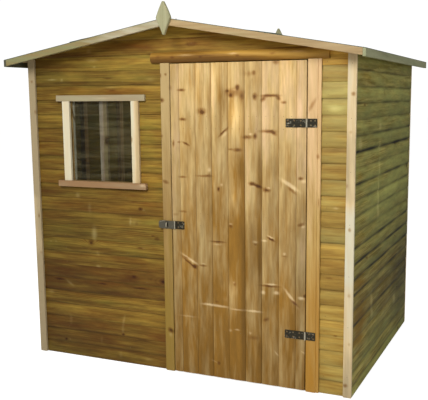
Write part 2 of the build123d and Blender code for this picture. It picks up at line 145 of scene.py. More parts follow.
class ShedColours(bpy.types.PropertyGroup):
    cladding_pale: colour("Cladding, pale", "Early wood of the cladding", 180, 145, 56)
    cladding_deep: colour("Cladding, deep", "Late wood of the cladding", 112, 82, 18)
    cladding_warm: colour("Cladding, warm", "Red-brown boards", 124, 78, 18)
    cladding_cool: colour("Cladding, cool", "Olive boards", 136, 122, 44)
    door_pale: colour("Door, pale", "Early wood of the door", 236, 204, 138)
    door_deep: colour("Door, deep", "Late wood of the door", 186, 144, 80)
    door_warm: colour("Door, warm", "Golden brown near the foot of the door", 172, 124, 44)
    door_cool: colour("Door, cool", "Pinkish planed face", 232, 194, 146)
    strip_pale: colour("Strip, pale", "Early wood of the boards beside the door", 206, 170, 80)
    strip_deep: colour("Strip, deep", "Late wood of those boards", 146, 106, 34)
    strip_cool: colour("Strip, cool", "Pale olive boards beside the door", 206, 190, 108)
    side_pale: colour("Side, pale", "Early wood of the side walls", 153, 139, 76)
    side_deep: colour("Side, deep", "Late wood of the side walls", 98, 86, 26)
    side_warm: colour("Side, brown", "Brown boards of the side walls", 116, 88, 18)
    side_cool: colour("Side, green", "Green treatment on the side walls", 118, 117, 61)
    post_pale: colour("Post, pale", "Early wood of the right door post", 204, 172, 106)
    post_deep: colour("Post, deep", "Late wood of the right door post", 160, 122, 60)
    post_dull: colour("Post, dull", "Middle of the left door post", 168, 137, 82)
    post_dark: colour("Post, dark", "Late wood of the left door post", 128, 96, 46)
    post_foot: colour("Post foot", "Foot of the left door post", 144, 116, 48)
    post_top: colour("Post top", "Planed top of the left door post", 182, 155, 104)
    trim_pale: colour("Trim, pale", "Planed strips at the corners", 226, 204, 160)
    trim_deep: colour("Trim, deep", "Late wood of the strips", 200, 172, 124)
    trim_white: colour("Trim, white", "Bleached patches of the strips", 213, 209, 184)
    trim_dull: colour("Trim, dull", "Pink-grey strip at the left corner", 163, 145, 111)
    mullion_pale: colour("Mullion", "Bar behind the pane where the light falls", 236, 206, 172)
    mullion_dark: colour("Mullion, dark", "Shaded half of that bar", 170, 154, 104)
    glass_smear_and_reflection: colour("Glass smear", "Dust and reflections on the pane", 128, 122, 92)
    sill_pale: colour("Window head", "Strip over the window", 160, 147, 116)
    sill_deep: colour("Window sill", "Strip under the window", 150, 116, 80)
    edge_pale: colour("Roof edge, pale", "Bargeboards where the light falls", 184, 158, 114)
    edge_deep: colour("Roof edge, deep", "Late wood of the bargeboards", 148, 120, 78)
    edge_grey: colour("Roof edge, grey", "Weathered face of the left bargeboards", 128, 124, 81)
    edge_green: colour("Roof edge, green", "Treatment left on the eaves boards", 134, 142, 104)
    # Painted shade on the left eaves board, whose inner face is seen under the roof
    eaves_painted_shade: colour("Roof edge, dark", "Dirt on the left eaves boards", 76, 74, 60)
    head_pale: colour("Head board, pale", "Early wood of the rounded board over the door", 152, 108, 34)
    head_deep: colour("Head board, deep", "Late wood of the rounded board over the door", 106, 70, 18)
    # Painted light on the top of the rounded board and painted shade at its foot
    head_lit_top: colour("Head board, top", "Top of the rounded board over the door", 198, 152, 66)
    head_shaded_foot: colour("Head board, foot", "Foot of the rounded board over the door", 104, 70, 24)
    finial_pale: colour("Finial, pale", "Grey-green timber of the finials", 168, 166, 130)
    finial_deep: colour("Finial, deep", "Late wood of the finials", 138, 134, 98)
    # The back studs are painted dark: painted shade for the dark inside of the shed
    stud_pale: colour("Back studs, pale", "Early wood of the studs in the dark", 106, 86, 32)
    stud_deep: colour("Back studs, deep", "Late wood of the studs in the dark", 82, 64, 22)
    frame_pale: colour("Framing, pale", "Sawn framing inside", 190, 164, 112)
    frame_deep: colour("Framing, deep", "Late wood of the framing", 142, 112, 66)
    knot: colour("Knot", "How the heart of a knot tints the wood", 152, 120, 70)
    knot_ring: colour("Knot ring", "How the wood round a knot is tinted", 190, 156, 104)
    shoot: colour("Shoot", "Pale wood beside the knots of the door and trims", 234, 216, 176)
    shoot_dull: colour("Shoot, dull", "Pale wood beside the knots of the cladding", 158, 146, 100)
    felt: colour("Felt", "Ground of the mineral felt", 50, 56, 46)
    felt_grit: colour("Felt grit", "Mineral grains on the felt", 104, 114, 96)
    steel: colour("Steel", "Dark lacquer of the hinges and the hasp", 52, 48, 36)
    # On the proud knuckles this bright steel is also a painted highlight
    bright_steel: colour("Bright steel", "Worn knuckles, pins and screws", 200, 192, 168)
    dull_steel: colour("Dull steel", "Heads of nails and screws", 122, 112, 84)
    glass: colour("Glass", "Tint of the pane", 22, 27, 22)


class ShedStage(bpy.types.PropertyGroup):
    camera_place: FloatVectorProperty(name="Camera", description="Where the camera stands",
                                      subtype="TRANSLATION", unit="LENGTH",
                                      default=(1.9229, -4.4273, 1.5745))
    camera_turn: FloatProperty(name="Turn", description="Turn of the camera to the left",
                               subtype="ANGLE", default=0.4185)
    camera_tilt: FloatProperty(name="Tilt", description="Tilt of the camera above the horizon",
                               subtype="ANGLE", default=-0.1522)
    camera_roll: FloatProperty(name="Roll", description="Roll of the camera", subtype="ANGLE",
                               default=-0.0083)
    focal_pixels: FloatProperty(name="Focal length", description="Focal length in photo pixels",
                                subtype="PIXEL", default=746.8)
    centre_right: FloatProperty(name="Centre right", description="Optical centre, right of the middle",
                                subtype="PIXEL", default=11.6)
    centre_down: FloatProperty(name="Centre down", description="Optical centre, below the middle",
                               subtype="PIXEL", default=12.65)
    sky: FloatProperty(name="Sky", description="Strength of the even light from all round",
                       default=0.25)
    key: FloatProperty(name="Key", description="Power of the soft light in front", subtype="POWER",
                       default=150.0)
    key_place: FloatVectorProperty(name="Key place", description="Where the soft light hangs",
                                   subtype="TRANSLATION", unit="LENGTH", default=(0.2, -4.4, 3.4))
    key_size: FloatProperty(name="Key size", description="Side of the soft light", unit="LENGTH",
                            default=1.6)
    top: FloatProperty(name="Top", description="Power of the soft light overhead", subtype="POWER",
                       default=60.0)
    fill: FloatProperty(name="Fill", description="Power of the soft light on the right",
                        subtype="POWER", default=45.0)
    inside: FloatProperty(name="Inside", description="Power of the lamp under the roof",
                          subtype="POWER", default=3.8)
    floor_glow: FloatProperty(name="Floor glow", description="Extra white of the floor as seen",
                              default=0.8)


def sizes():
    """The sizes in the sidebar."""
    return bpy.context.scene.shed_sizes


def colours():
    """The colours in the sidebar."""
    return bpy.context.scene.shed_colours


def under_roof(x):
    """Height of the underside of the roof boards at a distance x from the middle."""
    return ridge - slope * abs(x) - roof_rise


def smooth(low, high, value):
    """0 below low, 1 above high, and 3t^2 - 2t^3 between them."""
    t = np.clip((value - low) / (high - low), 0, 1)
    return t * t * (3 - 2 * t)


class Shells:
    """Gathers closed shells into one mesh, with the values that its wood reads at each point.

    grain is (metres along the grain, metres across and deep from the heart of the tree), shade
    multiplies the colour, and stain mixes in the warm colour above 0 and the cool one below.
    faces is a list of arrays, each with one row of point numbers for a face.
    """

    def __init__(self):
        self.points = []
        self.faces = []
        self.grain = []
        self.shade = []
        self.stain = []
        self.total = 0

    def add(self, points, faces, grain=None, shade=1.0, stain=0.0):
        """Takes in one closed shell, whose point numbers start from 0."""
        points = np.asarray(points, float).reshape(-1, 3)
        count = len(points)
        self.points.append(points)
        for block in faces:
            self.faces += (block + self.total).tolist()
        self.grain.append(np.zeros((count, 3)) if grain is None else np.asarray(grain).reshape(-1, 3))
        self.shade.append(np.broadcast_to(np.asarray(shade, float).reshape(-1), (count,)))
        self.stain.append(np.broadcast_to(np.asarray(stain, float).reshape(-1), (count,)))
        self.total += count

    def build(self, name, body, material, replaced=()):
        """Makes the mesh and its object, and lets it ride on its body in place of CAD nodes."""
        mesh = bpy.data.meshes.new(name)
        mesh.from_pydata(np.concatenate(self.points).tolist(), [], self.faces)
        grain = mesh.attributes.new("grain", "FLOAT_VECTOR", "POINT")
        grain.data.foreach_set("vector", np.concatenate(self.grain).astype(np.float32).ravel())
        for label, values in (("shade", self.shade), ("stain", self.stain)):
            layer = mesh.attributes.new(label, "FLOAT", "POINT")
            layer.data.foreach_set("value", np.concatenate(values).astype(np.float32))
        mesh.materials.append(material)
        mesh.validate()
        mesh.update()
        piece = bpy.data.objects.new(name, mesh)
        bpy.context.scene.collection.objects.link(piece)
        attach(piece, body)
        if replaced:
            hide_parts(*replaced)
        return piece


def tidy_loop(section):
    """A section as a loop that turns from its first axis to its second, with no point twice."""
    step = np.linalg.norm(section - np.roll(section, 1, axis=0), axis=1)
    section = section[step > 1e-6]
    x, y = section.T
    area = np.sum(x * np.roll(y, -1) - y * np.roll(x, -1))
    return section if area > 0 else section[::-1]


def carried(section, start, stop, stations):
    """A section carried in a straight line: point k at share s lies start_k + s (stop_k - start_k) along.

    Gives an array of (along, first, second) and the faces round and at both ends.
    """
    around = len(section)
    share = np.linspace(0, 1, stations)[:, None]
    start = np.broadcast_to(start, around)
    stop = np.broadcast_to(stop, around)
    along = start + share * (stop - start)
    points = np.stack([along, *np.broadcast_arrays(section[:, 0], section[:, 1], along)[:2]], axis=-1)
    ring = np.arange(stations * around).reshape(stations, around)
    ahead = np.roll(ring, -1, axis=1)
    quads = np.stack([ring[:-1], ahead[:-1], ahead[1:], ring[1:]], axis=-1).reshape(-1, 4)
    return points, [quads, np.stack([ring[0][::-1], ring[-1]])]


# Nodes

class Recipe:
    """Adds nodes to one material or world, each linked to what was worked out before it."""

    def __init__(self, name, kind="materials"):
        self.made = getattr(bpy.data, kind).new(name)
        self.made.use_nodes = True
        self.tree = self.made.node_tree
        self.tree.nodes.clear()

    def add(self, kind, inputs=(), **settings):
        """A node with its settings. Inputs are in order or by name: an output to link, or a value."""
        made = self.tree.nodes.new("ShaderNode" + kind)
        for key, value in settings.items():
            setattr(made, key, value)
        for place, value in inputs.items() if isinstance(inputs, dict) else enumerate(inputs):
            if isinstance(value, bpy.types.NodeSocket):
                self.tree.links.new(value, made.inputs[place])
            elif value is not None:
                made.inputs[place].default_value = value
        return made

    def math(self, operation, *values, clamp=False):
        """The number that an operation makes of others, kept between 0 and 1 where clamp is set."""
        return self.add("Math", values, operation=operation, use_clamp=clamp).outputs[0]

    def vector(self, operation, *values):
        """The point, or for a product and a length the number, that an operation makes of points."""
        made = self.add("VectorMath", values, operation=operation)
        return made.outputs["Value" if operation in ("DOT_PRODUCT", "LENGTH") else "Vector"]

    def mix(self, factor, first, second, blend="MIX"):
        """The first colour at factor 0 and the second, or the blend of both, at factor 1.

        Inputs 6 and 7 and output 2 are the colours of Blender's Mix node.
        """
        first, second = ((*value, 1.0) if isinstance(value, tuple) else value
                         for value in (first, second))
        made = self.add("Mix", {0: factor, 6: first, 7: second}, data_type="RGBA", blend_type=blend)
        return made.outputs[2]

    def step(self, value, low, high, floor=0.0, ceiling=1.0):
        """From floor at low to ceiling at high by 3t^2 - 2t^3, and level outside them."""
        made = self.add("MapRange", (value, low, high, floor, ceiling),
                        interpolation_type="SMOOTHSTEP")
        return made.outputs[0]

    def noise(self, place, detail=2.0, roughness=0.5, output=0):
        """Noise of about one wave a unit: a number as output 0, or three of them as output 1."""
        made = self.add("TexNoise", {"Vector": place, "Scale": 1.0, "Detail": detail,
                                     "Roughness": roughness})
        return made.outputs[output]

    def stretched(self, place, x, y, z):
        """A point with each of its coordinates times a number of its own."""
        return self.vector("MULTIPLY", place, (x, y, z))

    def place(self):
        """The point's own coordinates, in metres."""
        return self.add("TexCoord").outputs["Object"]

    def stored(self, name, output="Fac"):
        """What Shells kept at each point under this name."""
        return self.add("Attribute", attribute_name=name).outputs[output]

    def shaded(self, base, shade):
        """A colour times one number."""
        return self.vector("MULTIPLY", base, self.add("CombineXYZ", (shade,) * 3).outputs[0])

    def finish(self, base, rough, height=None, distance=0.0006, strength=0.6, **constants):
        """The surface itself, with a bump where a height is given."""
        inputs = {"Base Color": base, "Roughness": rough}
        inputs.update({key.replace("_", " "): value for key, value in constants.items()})
        if height is not None:
            bump = self.add("Bump", {"Strength": strength, "Distance": distance, "Height": height})
            inputs["Normal"] = bump.outputs[0]
        surface = self.add("BsdfPrincipled", inputs)
        self.add("OutputMaterial", (surface.outputs[0],))
        return self.made


Timber = namedtuple("Timber", "pale deep warm cool ring figure rough knots lines blotch cloud shoot gloss")


def scattered_knots(recipe, place, share):
    """One knot in some of the cells of a stretched Voronoi pattern.

    Gives how far the rings bulge there, and the squared distance from the knot in its own radii.
    """
    cell = (0.30, 0.075, 0.075)
    scaled = recipe.stretched(place, *(1 / side for side in cell))
    cells = recipe.add("TexVoronoi", {"Vector": scaled, "Scale": 1.0, "Randomness": 0.9})
    away = recipe.vector("SUBTRACT", scaled, cells.outputs["Position"])
    away = recipe.stretched(away, *cell)
    chance = recipe.add("SeparateColor", (cells.outputs["Color"],))
    there = recipe.math("LESS_THAN", chance.outputs[0], share)
    radius = recipe.math("MULTIPLY_ADD", chance.outputs[1], KNOT_RADIUS * 0.9, KNOT_RADIUS * 0.5)
    inverse = recipe.math("DIVIDE", 1.0, radius)
    near = recipe.add("VectorMath", {0: away, 3: inverse}, operation="SCALE").outputs[0]
    core = recipe.vector("DOT_PRODUCT", near, recipe.stretched(near, 0.55, 1.0, 1.0))
    flow = recipe.vector("DOT_PRODUCT", near, recipe.stretched(near, 0.035, 0.16, 0.16))
    bulge = recipe.math("MULTIPLY", recipe.math("POWER", math.exp(-1), flow), there)
    absent = recipe.math("MULTIPLY_ADD", there, -50.0, 50.0)
    return bulge, recipe.math("ADD", core, absent)


def marked(recipe, place, marks):
    """Sums of the dark and of the pale marks, each a soft ellipse of strength e^(-r^2) at r half sizes.

    A mark is (x, z, half length, half height, tilt, strength) in millimetres and degrees, and pale
    where the strength is below 0. place holds the same x and z in metres.
    """
    warp = recipe.noise(recipe.stretched(place, 60.0, 60.0, 60.0), 3.0, 0.65, output=1)
    warp = recipe.vector("MULTIPLY_ADD", warp, (0.009, 0.0, 0.009), (-0.0045, 0.0, -0.0045))
    place = recipe.vector("ADD", place, warp)
    sums = [0.0, 0.0]
    for x, z, long, tall, tilt, strength in marks:
        near = recipe.vector("MULTIPLY_ADD", place, (MILLIMETRES, 0, MILLIMETRES), (-x, 0, -z))
        cos, sin = math.cos(math.radians(tilt)), math.sin(math.radians(tilt))
        long, tall = MARK_SPREAD * long, MARK_SPREAD * tall
        along = recipe.vector("DOT_PRODUCT", near, (cos / long, 0, sin / long))
        across = recipe.vector("DOT_PRODUCT", near, (-sin / tall, 0, cos / tall))
        reach = recipe.math("MULTIPLY_ADD", along, along, recipe.math("MULTIPLY", across, across))
        bell = recipe.math("POWER", math.exp(-1), reach)
        pale = strength < 0
        sums[pale] = recipe.math("MULTIPLY_ADD", bell, abs(strength), sums[pale])
    return sums


def wood(timber, recipe, place, shade=None, stain=None, marks=(), front=None):
    """Growth rings round the heart of the tree, bulging round knots, with streaks and fibres.

    The rings are the steps of distance from the heart over their spacing, plus the bulge. place is
    (along, across, deep) in the tree, and front the place on the shed that the marks are given in.
    """
    tone = colours()
    wander = recipe.noise(recipe.stretched(place, 1.4, 9.0, 9.0), 1.0, output=1)
    wander = recipe.vector("MULTIPLY_ADD", wander, (0.0, 0.03, 0.03), (0.0, -0.015, -0.015))
    bent = recipe.vector("ADD", recipe.stretched(place, 0.0, 1.0, 1.0), wander)
    rings = recipe.math("DIVIDE", recipe.vector("LENGTH", bent), timber.ring)
    bulge, core = scattered_knots(recipe, place, timber.knots)
    dark, pale = marked(recipe, front, marks) if marks else (None, None)
    if marks:
        bulge = recipe.math("MULTIPLY_ADD", dark, 0.5, bulge)
    wave = recipe.math("FRACT", recipe.math("MULTIPLY_ADD", bulge, 3.2, rings))
    late = recipe.math("MULTIPLY", recipe.step(wave, 0.2, 0.85), recipe.step(wave, 1.0, 0.9))
    streak = recipe.noise(recipe.stretched(place, 3.0, 56.0, 56.0), 3.0, 0.56)
    fibre = recipe.noise(recipe.stretched(place, 14.0, 420.0, 420.0), 2.0)
    patch = recipe.noise(recipe.stretched(place, 3.4, 21.0, 21.0), 3.0, 0.6)
    shown = recipe.step(patch, 0.35, 0.7, 0.25 * timber.lines, timber.lines)
    deep = recipe.math("MULTIPLY_ADD", late, shown, 0.04)
    deep = recipe.math("MULTIPLY_ADD", recipe.step(streak, 0.26, 0.76), 0.85 * timber.figure, deep)
    deep = recipe.math("MULTIPLY_ADD", fibre, 0.16, deep, clamp=True)
    base = recipe.mix(deep, timber.pale, timber.deep)

    patch = recipe.math("MULTIPLY_ADD", patch, timber.blotch, -0.5 * timber.blotch)
    turn = recipe.math("ADD", patch, 0.0 if stain is None else stain)
    base = recipe.mix(recipe.math("MULTIPLY", turn, 1.0, clamp=True), base, timber.warm)
    base = recipe.mix(recipe.math("MULTIPLY", turn, -1.0, clamp=True), base, timber.cool)
    if shade is not None:
        cloud = recipe.noise(recipe.stretched(place, 6.0, 34.0, 34.0), 4.0, 0.65)
        cloud = recipe.math("MULTIPLY_ADD", cloud, 2 * timber.cloud, 1 - timber.cloud)
        shade = recipe.math("MULTIPLY", shade, cloud)
        base = recipe.shaded(base, shade)

    heart = recipe.math("MULTIPLY_ADD", streak, 1.1, core)
    ring = recipe.step(heart, 5.5, 1.6, 0.0, 0.5)
    heart = recipe.step(heart, 1.75, 1.25, 0.0, 0.8)
    if marks:
        light = recipe.step(pale, 0.0, 0.9, 1.0, 1.45)
        base = recipe.shaded(base, light)
        base = recipe.mix(recipe.step(pale, 0.0, 0.9, 0.0, 0.4), base, timber.shoot)
        ring = recipe.math("MAXIMUM", ring, recipe.step(dark, 0.03, 0.45, 0.0, 0.7))
        heart = recipe.math("MAXIMUM", heart, recipe.step(dark, 0.4, 0.8, 0.0, 0.82))
    base = recipe.mix(ring, base, tuple(tone.knot_ring), "MULTIPLY")
    base = recipe.mix(heart, base, tuple(tone.knot), "MULTIPLY")
    height = recipe.math("MULTIPLY_ADD", late, -0.5, recipe.math("MULTIPLY", fibre, 0.6))
    rough = recipe.math("MULTIPLY_ADD", fibre, 0.25, timber.rough)
    return recipe.finish(base, rough, height, Specular_IOR_Level=timber.gloss)


def timber(pale, deep, warm, cool, ring=0.006, figure=0.8, rough=0.42, knots=0.5, lines=0.3,
           blotch=1.6, cloud=0.3, shoot=None, gloss=0.22):
    """Early and late wood and its stains, the ring spacing, and how strongly each pattern shows.

    figure is for the streaks, lines for the rings, blotch for patches of stain and cloud for shade.
    """
    return Timber(tuple(pale), tuple(deep), tuple(warm), tuple(cool), ring, figure, rough, knots,
                  lines, blotch, cloud, tuple(shoot or colours().shoot), gloss)


def board_wood(name, kind, marks=(), along=None):
    """Wood for boards that carry their own grain, shade and stain.

    along names the axis that the marks' x is measured on, where that isn't the shed's own x.
    """
    recipe = Recipe(name)
    place = recipe.place()
    if along:
        parts = recipe.add("SeparateXYZ", (place,)).outputs
        place = recipe.add("CombineXYZ", (parts["xyz".index(along)], None, parts[2])).outputs[0]
    return wood(kind, recipe, recipe.stored("grain", "Vector"), recipe.stored("shade"),
                recipe.stored("stain"), marks, place)


def solid_wood(name, kind, axis, marks=(), *drifts):
    """Wood for sawn and planed pieces of the frame, with the grain along one axis.

    A drift is (axis, start, end, stain at start, stain at end) for a colour that changes along a
    piece, and the stains of several drifts add up.
    """
    recipe = Recipe(name)
    front = recipe.place()
    parts = recipe.add("SeparateXYZ", (front,)).outputs
    order = {"x": (0, 2, 1), "y": (1, 2, 0), "z": (2, 0, 1)}[axis]
    along, across, deep = (parts[index] for index in order)
    offset = recipe.math("MULTIPLY_ADD", across, 3.7, along)
    across = recipe.math("PINGPONG", recipe.math("ADD", across, 0.043), 0.09)
    deep = recipe.math("PINGPONG", recipe.math("ADD", deep, 0.021), 0.07)
    place = recipe.add("CombineXYZ", (offset, across, deep)).outputs[0]
    stain = None
    for way, *reach in drifts:
        step = recipe.step(parts["xyz".index(way)], *reach)
        stain = step if stain is None else recipe.math("ADD", stain, step)
    return wood(kind, recipe, place, None, stain, marks, front)


def dress(material, *nodes, edge=0.0):
    """Gives CAD nodes their material, and rounds their edges where a radius is given."""
    for node in nodes:
        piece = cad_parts[node]
        piece.data.materials.clear()
        piece.data.materials.append(material)
        if edge:
            piece.modifiers.new("Weld", "WELD").merge_threshold = 0.00002
            bevel = piece.modifiers.new("Edges", "BEVEL")
            bevel.width = edge
            bevel.segments = 2
            bevel.limit_method = "ANGLE"
            bevel.angle_limit = math.radians(40)


def planed(name, kind, axis, *nodes, marks=(), drifts=()):
    """Gives CAD nodes one wood with its grain along the axis, and rounds their edges."""
    dress(solid_wood(name, kind, axis, marks, *drifts), *nodes, edge=sizes().edge_round)


def spotted(across, up, spots):
    """Shade and stain added by soft spots: their amounts times e^(-r^2) at r half sizes from each.

    A spot is (across, up, half width, half height, shade, stain) in millimetres.
    """
    light = np.zeros(np.broadcast(across, up).shape)
    warm = light.copy()
    for x, z, wide, tall, shade, stain in spots:
        bell = np.exp(-((across * MILLIMETRES - x) / wide) ** 2 - ((up * MILLIMETRES - z) / tall) ** 2)
        light += shade * bell
        warm += stain * bell
    return light, warm


def draw_boards(rng):
    """A new board's place in the tree: an offset along it, and its heart beside and behind it."""
    return np.array([rng.uniform(0, 60), rng.uniform(-0.06, 0.06), -rng.uniform(0.012, 0.07)])


# Cladding

def lap_section(course):
    """Depth and height round a cladding board, from its lip up the face to its tongue and down its back.

    At the share t of the course the face lies lean ((t - 0.3) / 0.7)^1.7 deep above t = 0.3, and
    round (1 - t / 0.08)^2 deep below t = 0.08.
    """
    size = sizes()
    t = np.array([0, 0.03, 0.08, 0.2, 0.34, 0.48, 0.6, 0.72, 0.83, 0.93, 1.0])
    depth = size.board_lean * (np.clip(t - 0.3, 0, 1) / 0.7) ** 1.7
    depth += size.lip_round * np.clip(1 - t / 0.08, 0, 1) ** 2
    rebate = size.board_lean + 0.0009
    gap = size.joint_gap
    top = course + size.tongue
    chamfer = 0.0015
    behind = [(rebate + gap, course), (rebate + gap, top), (board_thickness - chamfer, top),
              (board_thickness, top - chamfer), (board_thickness, size.tongue + gap + chamfer),
              (board_thickness - chamfer, size.tongue + gap), (rebate, size.tongue + gap), (rebate, 0)]
    return np.concatenate([np.stack([depth, t * course], axis=1), behind])


def gable_half(height):
    """Half the width of the gable at each height, inside the side walls."""
    return np.clip(half_width - (height - eaves) / slope, 0.0, inner_half)


def straight_half(height):
    """The boards of a wall without a gable aren't cut short at any height."""
    return np.full_like(height, np.inf)


def spans(low, high, holes, first, last):
    """The stretches of one course between first and last, cut round the holes that it crosses.

    Gives (start, stop, lowest, highest) for each stretch. No sliver is left over.
    """
    thinnest, shortest = 0.004, 0.002
    pieces = []
    start = first
    for left, right, foot, head in sorted(holes):
        if high <= foot or low >= head:
            continue
        pieces.append((start, left, low, high))
        if head < high - thinnest:
            pieces.append((left, right, head, high))
        if low < foot - thinnest:
            pieces.append((left, right, low, foot))
        start = right
    pieces.append((start, last, low, high))
    return [piece for piece in pieces if piece[1] - piece[0] > shortest]


# A wall runs from first to last and from shift to top, with its face at one depth. half gives half
# its width at each height, and turn is how far it stands turned from the front.
Wall = namedtuple("Wall", "turn face first last shift top half holes")


def clad(shells, rng, wall, look):
    """Lays the boards of one wall, seen from outside, turned about the shed's middle.

    A point at (along, depth, height) goes to the front and is then turned. look gives shade and
    stain from the board's number, the places along it and the heights. Each board stands back a
    little, and ripples and lifts along it by a sine of its own.
    """
    set_back_most, ripple_height, lift_height = 0.0006, 0.00035, 0.0005
    size = sizes()
    course = size.course
    cos, sin = math.cos(wall.turn), math.sin(wall.turn)
    section = lap_section(course)
    number = 0
    foot = wall.shift
    while foot < wall.top:
        heart = draw_boards(rng)
        set_back = rng.uniform(0, set_back_most)
        swell = rng.uniform(0.5, 1.3, 2) * 2.2
        phase = rng.uniform(0, 6.28, 2)
        for start, stop, low, high in spans(foot, foot + course, wall.holes, wall.first, wall.last):
            low = max(low, wall_foot)
            piece = section.copy()
            height = foot + piece[:, 1]
            open_top = high >= foot + course
            cut = np.clip(height, low, min(wall.top, high + (size.tongue if open_top else 0)))
            piece[:, 1] = cut
            piece = tidy_loop(piece)
            limit = wall.half(piece[:, 1])
            begin = np.clip(start, -limit, limit)
            end = np.clip(stop, -limit, limit)
            stations = max(3, int((stop - start) / BOARD_STATION))
            points, faces = carried(piece, begin, end, stations)
            along, depth, height = np.moveaxis(points, -1, 0)
            share = (height - foot) / course
            depth = depth + set_back + ripple_height * np.sin(along * swell[0] + phase[0])
            lift = lift_height * np.sin(along * swell[1] + phase[1]) * (low > wall_foot)
            shade, stain = look(number, along, height, share)
            x, y = along, wall.face + depth
            world = np.stack([x * cos - y * sin, x * sin + y * cos, height + lift], axis=-1)
            grain = np.stack([along + heart[0], height - foot - course / 2 + heart[1],
                              depth + heart[2]], axis=-1)
            shells.add(world, faces, grain, shade, stain)
        foot += course
        number += 1


def painted_lap_shade(share, low, high):
    """Painted shade of a board at its lower and upper joints, a painted highlight there where the amount is
    below 0, painted light where its top falls back, and painted shade towards its foot.
    """
    lip = 1 - 0.4 * low * smooth(0.17, 0.0, share)
    crest = 1 + 0.07 * smooth(0.35, 0.6, share) * smooth(0.95, 0.75, share)
    under = 1 - 0.36 * high * smooth(0.84, 1.0, share)
    return lip * crest * under * (1.03 - 0.07 * smooth(0.75, 0.05, share))


def uneven(along, number):
    """How strongly a joint shows along it: 0.6 plus two sines of different pitch, 0 to 1.2."""
    return 0.6 + 0.35 * np.sin(along * 7.3 + number * 2.7) + 0.25 * np.sin(along * 19.0 + number * 4.1)


def front_look(rng, stains, shades, spots, joints=()):
    """Shade and stain of the front: painted light that grows brighter to the right, with each board's own
    tone.

    joints gives some joints, counted from the ground, how dark their painted shade is. Below 0 they get a
    painted highlight.
    """
    depths = rng.uniform(0.1, 0.9, len(stains) + 1)
    for number, depth in joints:
        depths[number] = depth

    def look(number, along, height, share):
        light, warm = spotted(along, height, spots)
        low = depths[number] * uneven(along, number)
        high = depths[number + 1] * uneven(along, number + 1)
        # Painted light, brighter to the right, times each board's tone and the painted shade of its laps
        shade = 0.98 * np.exp(0.60 * along) * shades[number] * painted_lap_shade(share, low, high)
        return shade * (1 + light), stains[number] + warm
    return look


def plain_look(rng, brightness, stain, spots=(), joints=(), contrast=1.0):
    """Shade and stain of a wall whose boards differ at random, with painted shade at its laps, darkest at
    the joints given.
    """
    boards = 40
    tones = contrast * rng.uniform(-0.1, 0.1, boards)
    stains = rng.uniform(-0.3, 0.3, boards)
    depths = rng.uniform(0.3, 1.0, boards)
    for number, depth in joints:
        depths[number] = depth

    def look(number, along, height, share):
        light, warm = spotted(along, height, spots)
        low = depths[number] * (0.4 + uneven(along, number))
        high = depths[number + 1] * (0.4 + uneven(along, number + 1))
        # The painted shade and light of the laps, made stronger by the power contrast
        shade = (brightness + tones[number]) * painted_lap_shade(share, low, high) ** contrast
        return shade * (1 + light), stain + stains[number] + warm
    return look


# Some joints, counted from the ground, and how dark their painted shade is: below 0 it is a painted
# highlight
painted_highlight_joints = ((12, -0.7), (10, -0.6), (9, -0.8), (7, -0.4))
painted_shade_joints = ((16, 1.9), (14, 1.3), (10, 1.6), (9, 2.0), (8, 1.8), (7, 1.3), (5, 1.4))
# The front's boards, counted from the ground: stain below 0 is olive, above 0 red-brown
front_stains = (0.3, 0.5, 0.6, 0.25, 0.2, 0.55, 0.6, 0.35, 0.0, -0.05, 0.1, 0.35,
                0.15, 0.3, 0.1, 0.25, 0.2, -0.1, 0.1, 0.15, 0.1, 0.05, 0.35, 0.1, 0.0, 0.0)
# The top few front boards are also painted lighter: painted light against the shade under the roof
front_shades = (0.71, 0.71, 0.76, 0.93, 0.91, 0.65, 0.66, 0.8, 0.82, 0.7, 0.8, 0.83, 0.76, 1.07, 0.87,
                0.93, 0.9, 1.08, 0.88, 1.05, 0.79, 0.98, 1.0, 1.08, 1.25, 1.25)
# The boards beside the door, counted in the same way
strip_stains = (-0.1, -0.2, -0.1, -0.1, -0.1, 0.0, 0.1, 0.3, 0.35, 0.0, -0.4, 0.2,
                -0.2, -0.3, 0.0, 0.0, -0.2, -0.3, -0.6, -0.6, -0.2, 0.3)
# The last of the strip's boards is painted lighter: painted light against the shade under the roof
strip_shades = (0.42, 0.45, 0.44, 0.48, 0.52, 0.49, 0.39, 0.44, 0.49, 0.52, 0.36, 0.4, 0.46, 0.38, 0.42,
                0.38, 0.38, 0.39, 0.42, 0.43, 0.39, 0.92)
# Soft spots as spotted() reads them
front_spots = (
    (-560, 1715, 330, 50, 0.06, -0.45), (-520, 1620, 240, 22, 0.0, 0.5), (-200, 1330, 60, 110, 0.06, -0.55),
    (-900, 1330, 90, 200, 0.0, 0.25), (-880, 1030, 120, 30, -0.05, 0.3), (-300, 1020, 160, 30, 0.05, 0.4),
    (-850, 700, 120, 40, 0.02, -0.4), (-800, 790, 150, 25, -0.12, -0.2), (-350, 790, 180, 25, -0.04, 0.0),
    (-180, 870, 60, 30, 0.14, -0.6), (-520, 365, 110, 25, 0.08, -0.6), (-860, 520, 140, 60, -0.08, 0.3),
    (-640, 292, 60, 16, 0.18, 0.3), (-440, 268, 70, 14, 0.06, 0.5), (-200, 290, 80, 22, 0.12, 0.2),
    (-500, 125, 50, 18, -0.05, 0.5), (-880, 40, 100, 30, -0.15, -0.5), (-250, 1880, 120, 25, 0.06, 0.5),
    (-900, 1790, 90, 20, -0.05, 0.4), (885, 1517, 40, 20, 0.15, -0.6), (880, 1690, 80, 30, 0.1, 0.0),
    (300, 1900, 250, 40, 0.02, 0.1),
)
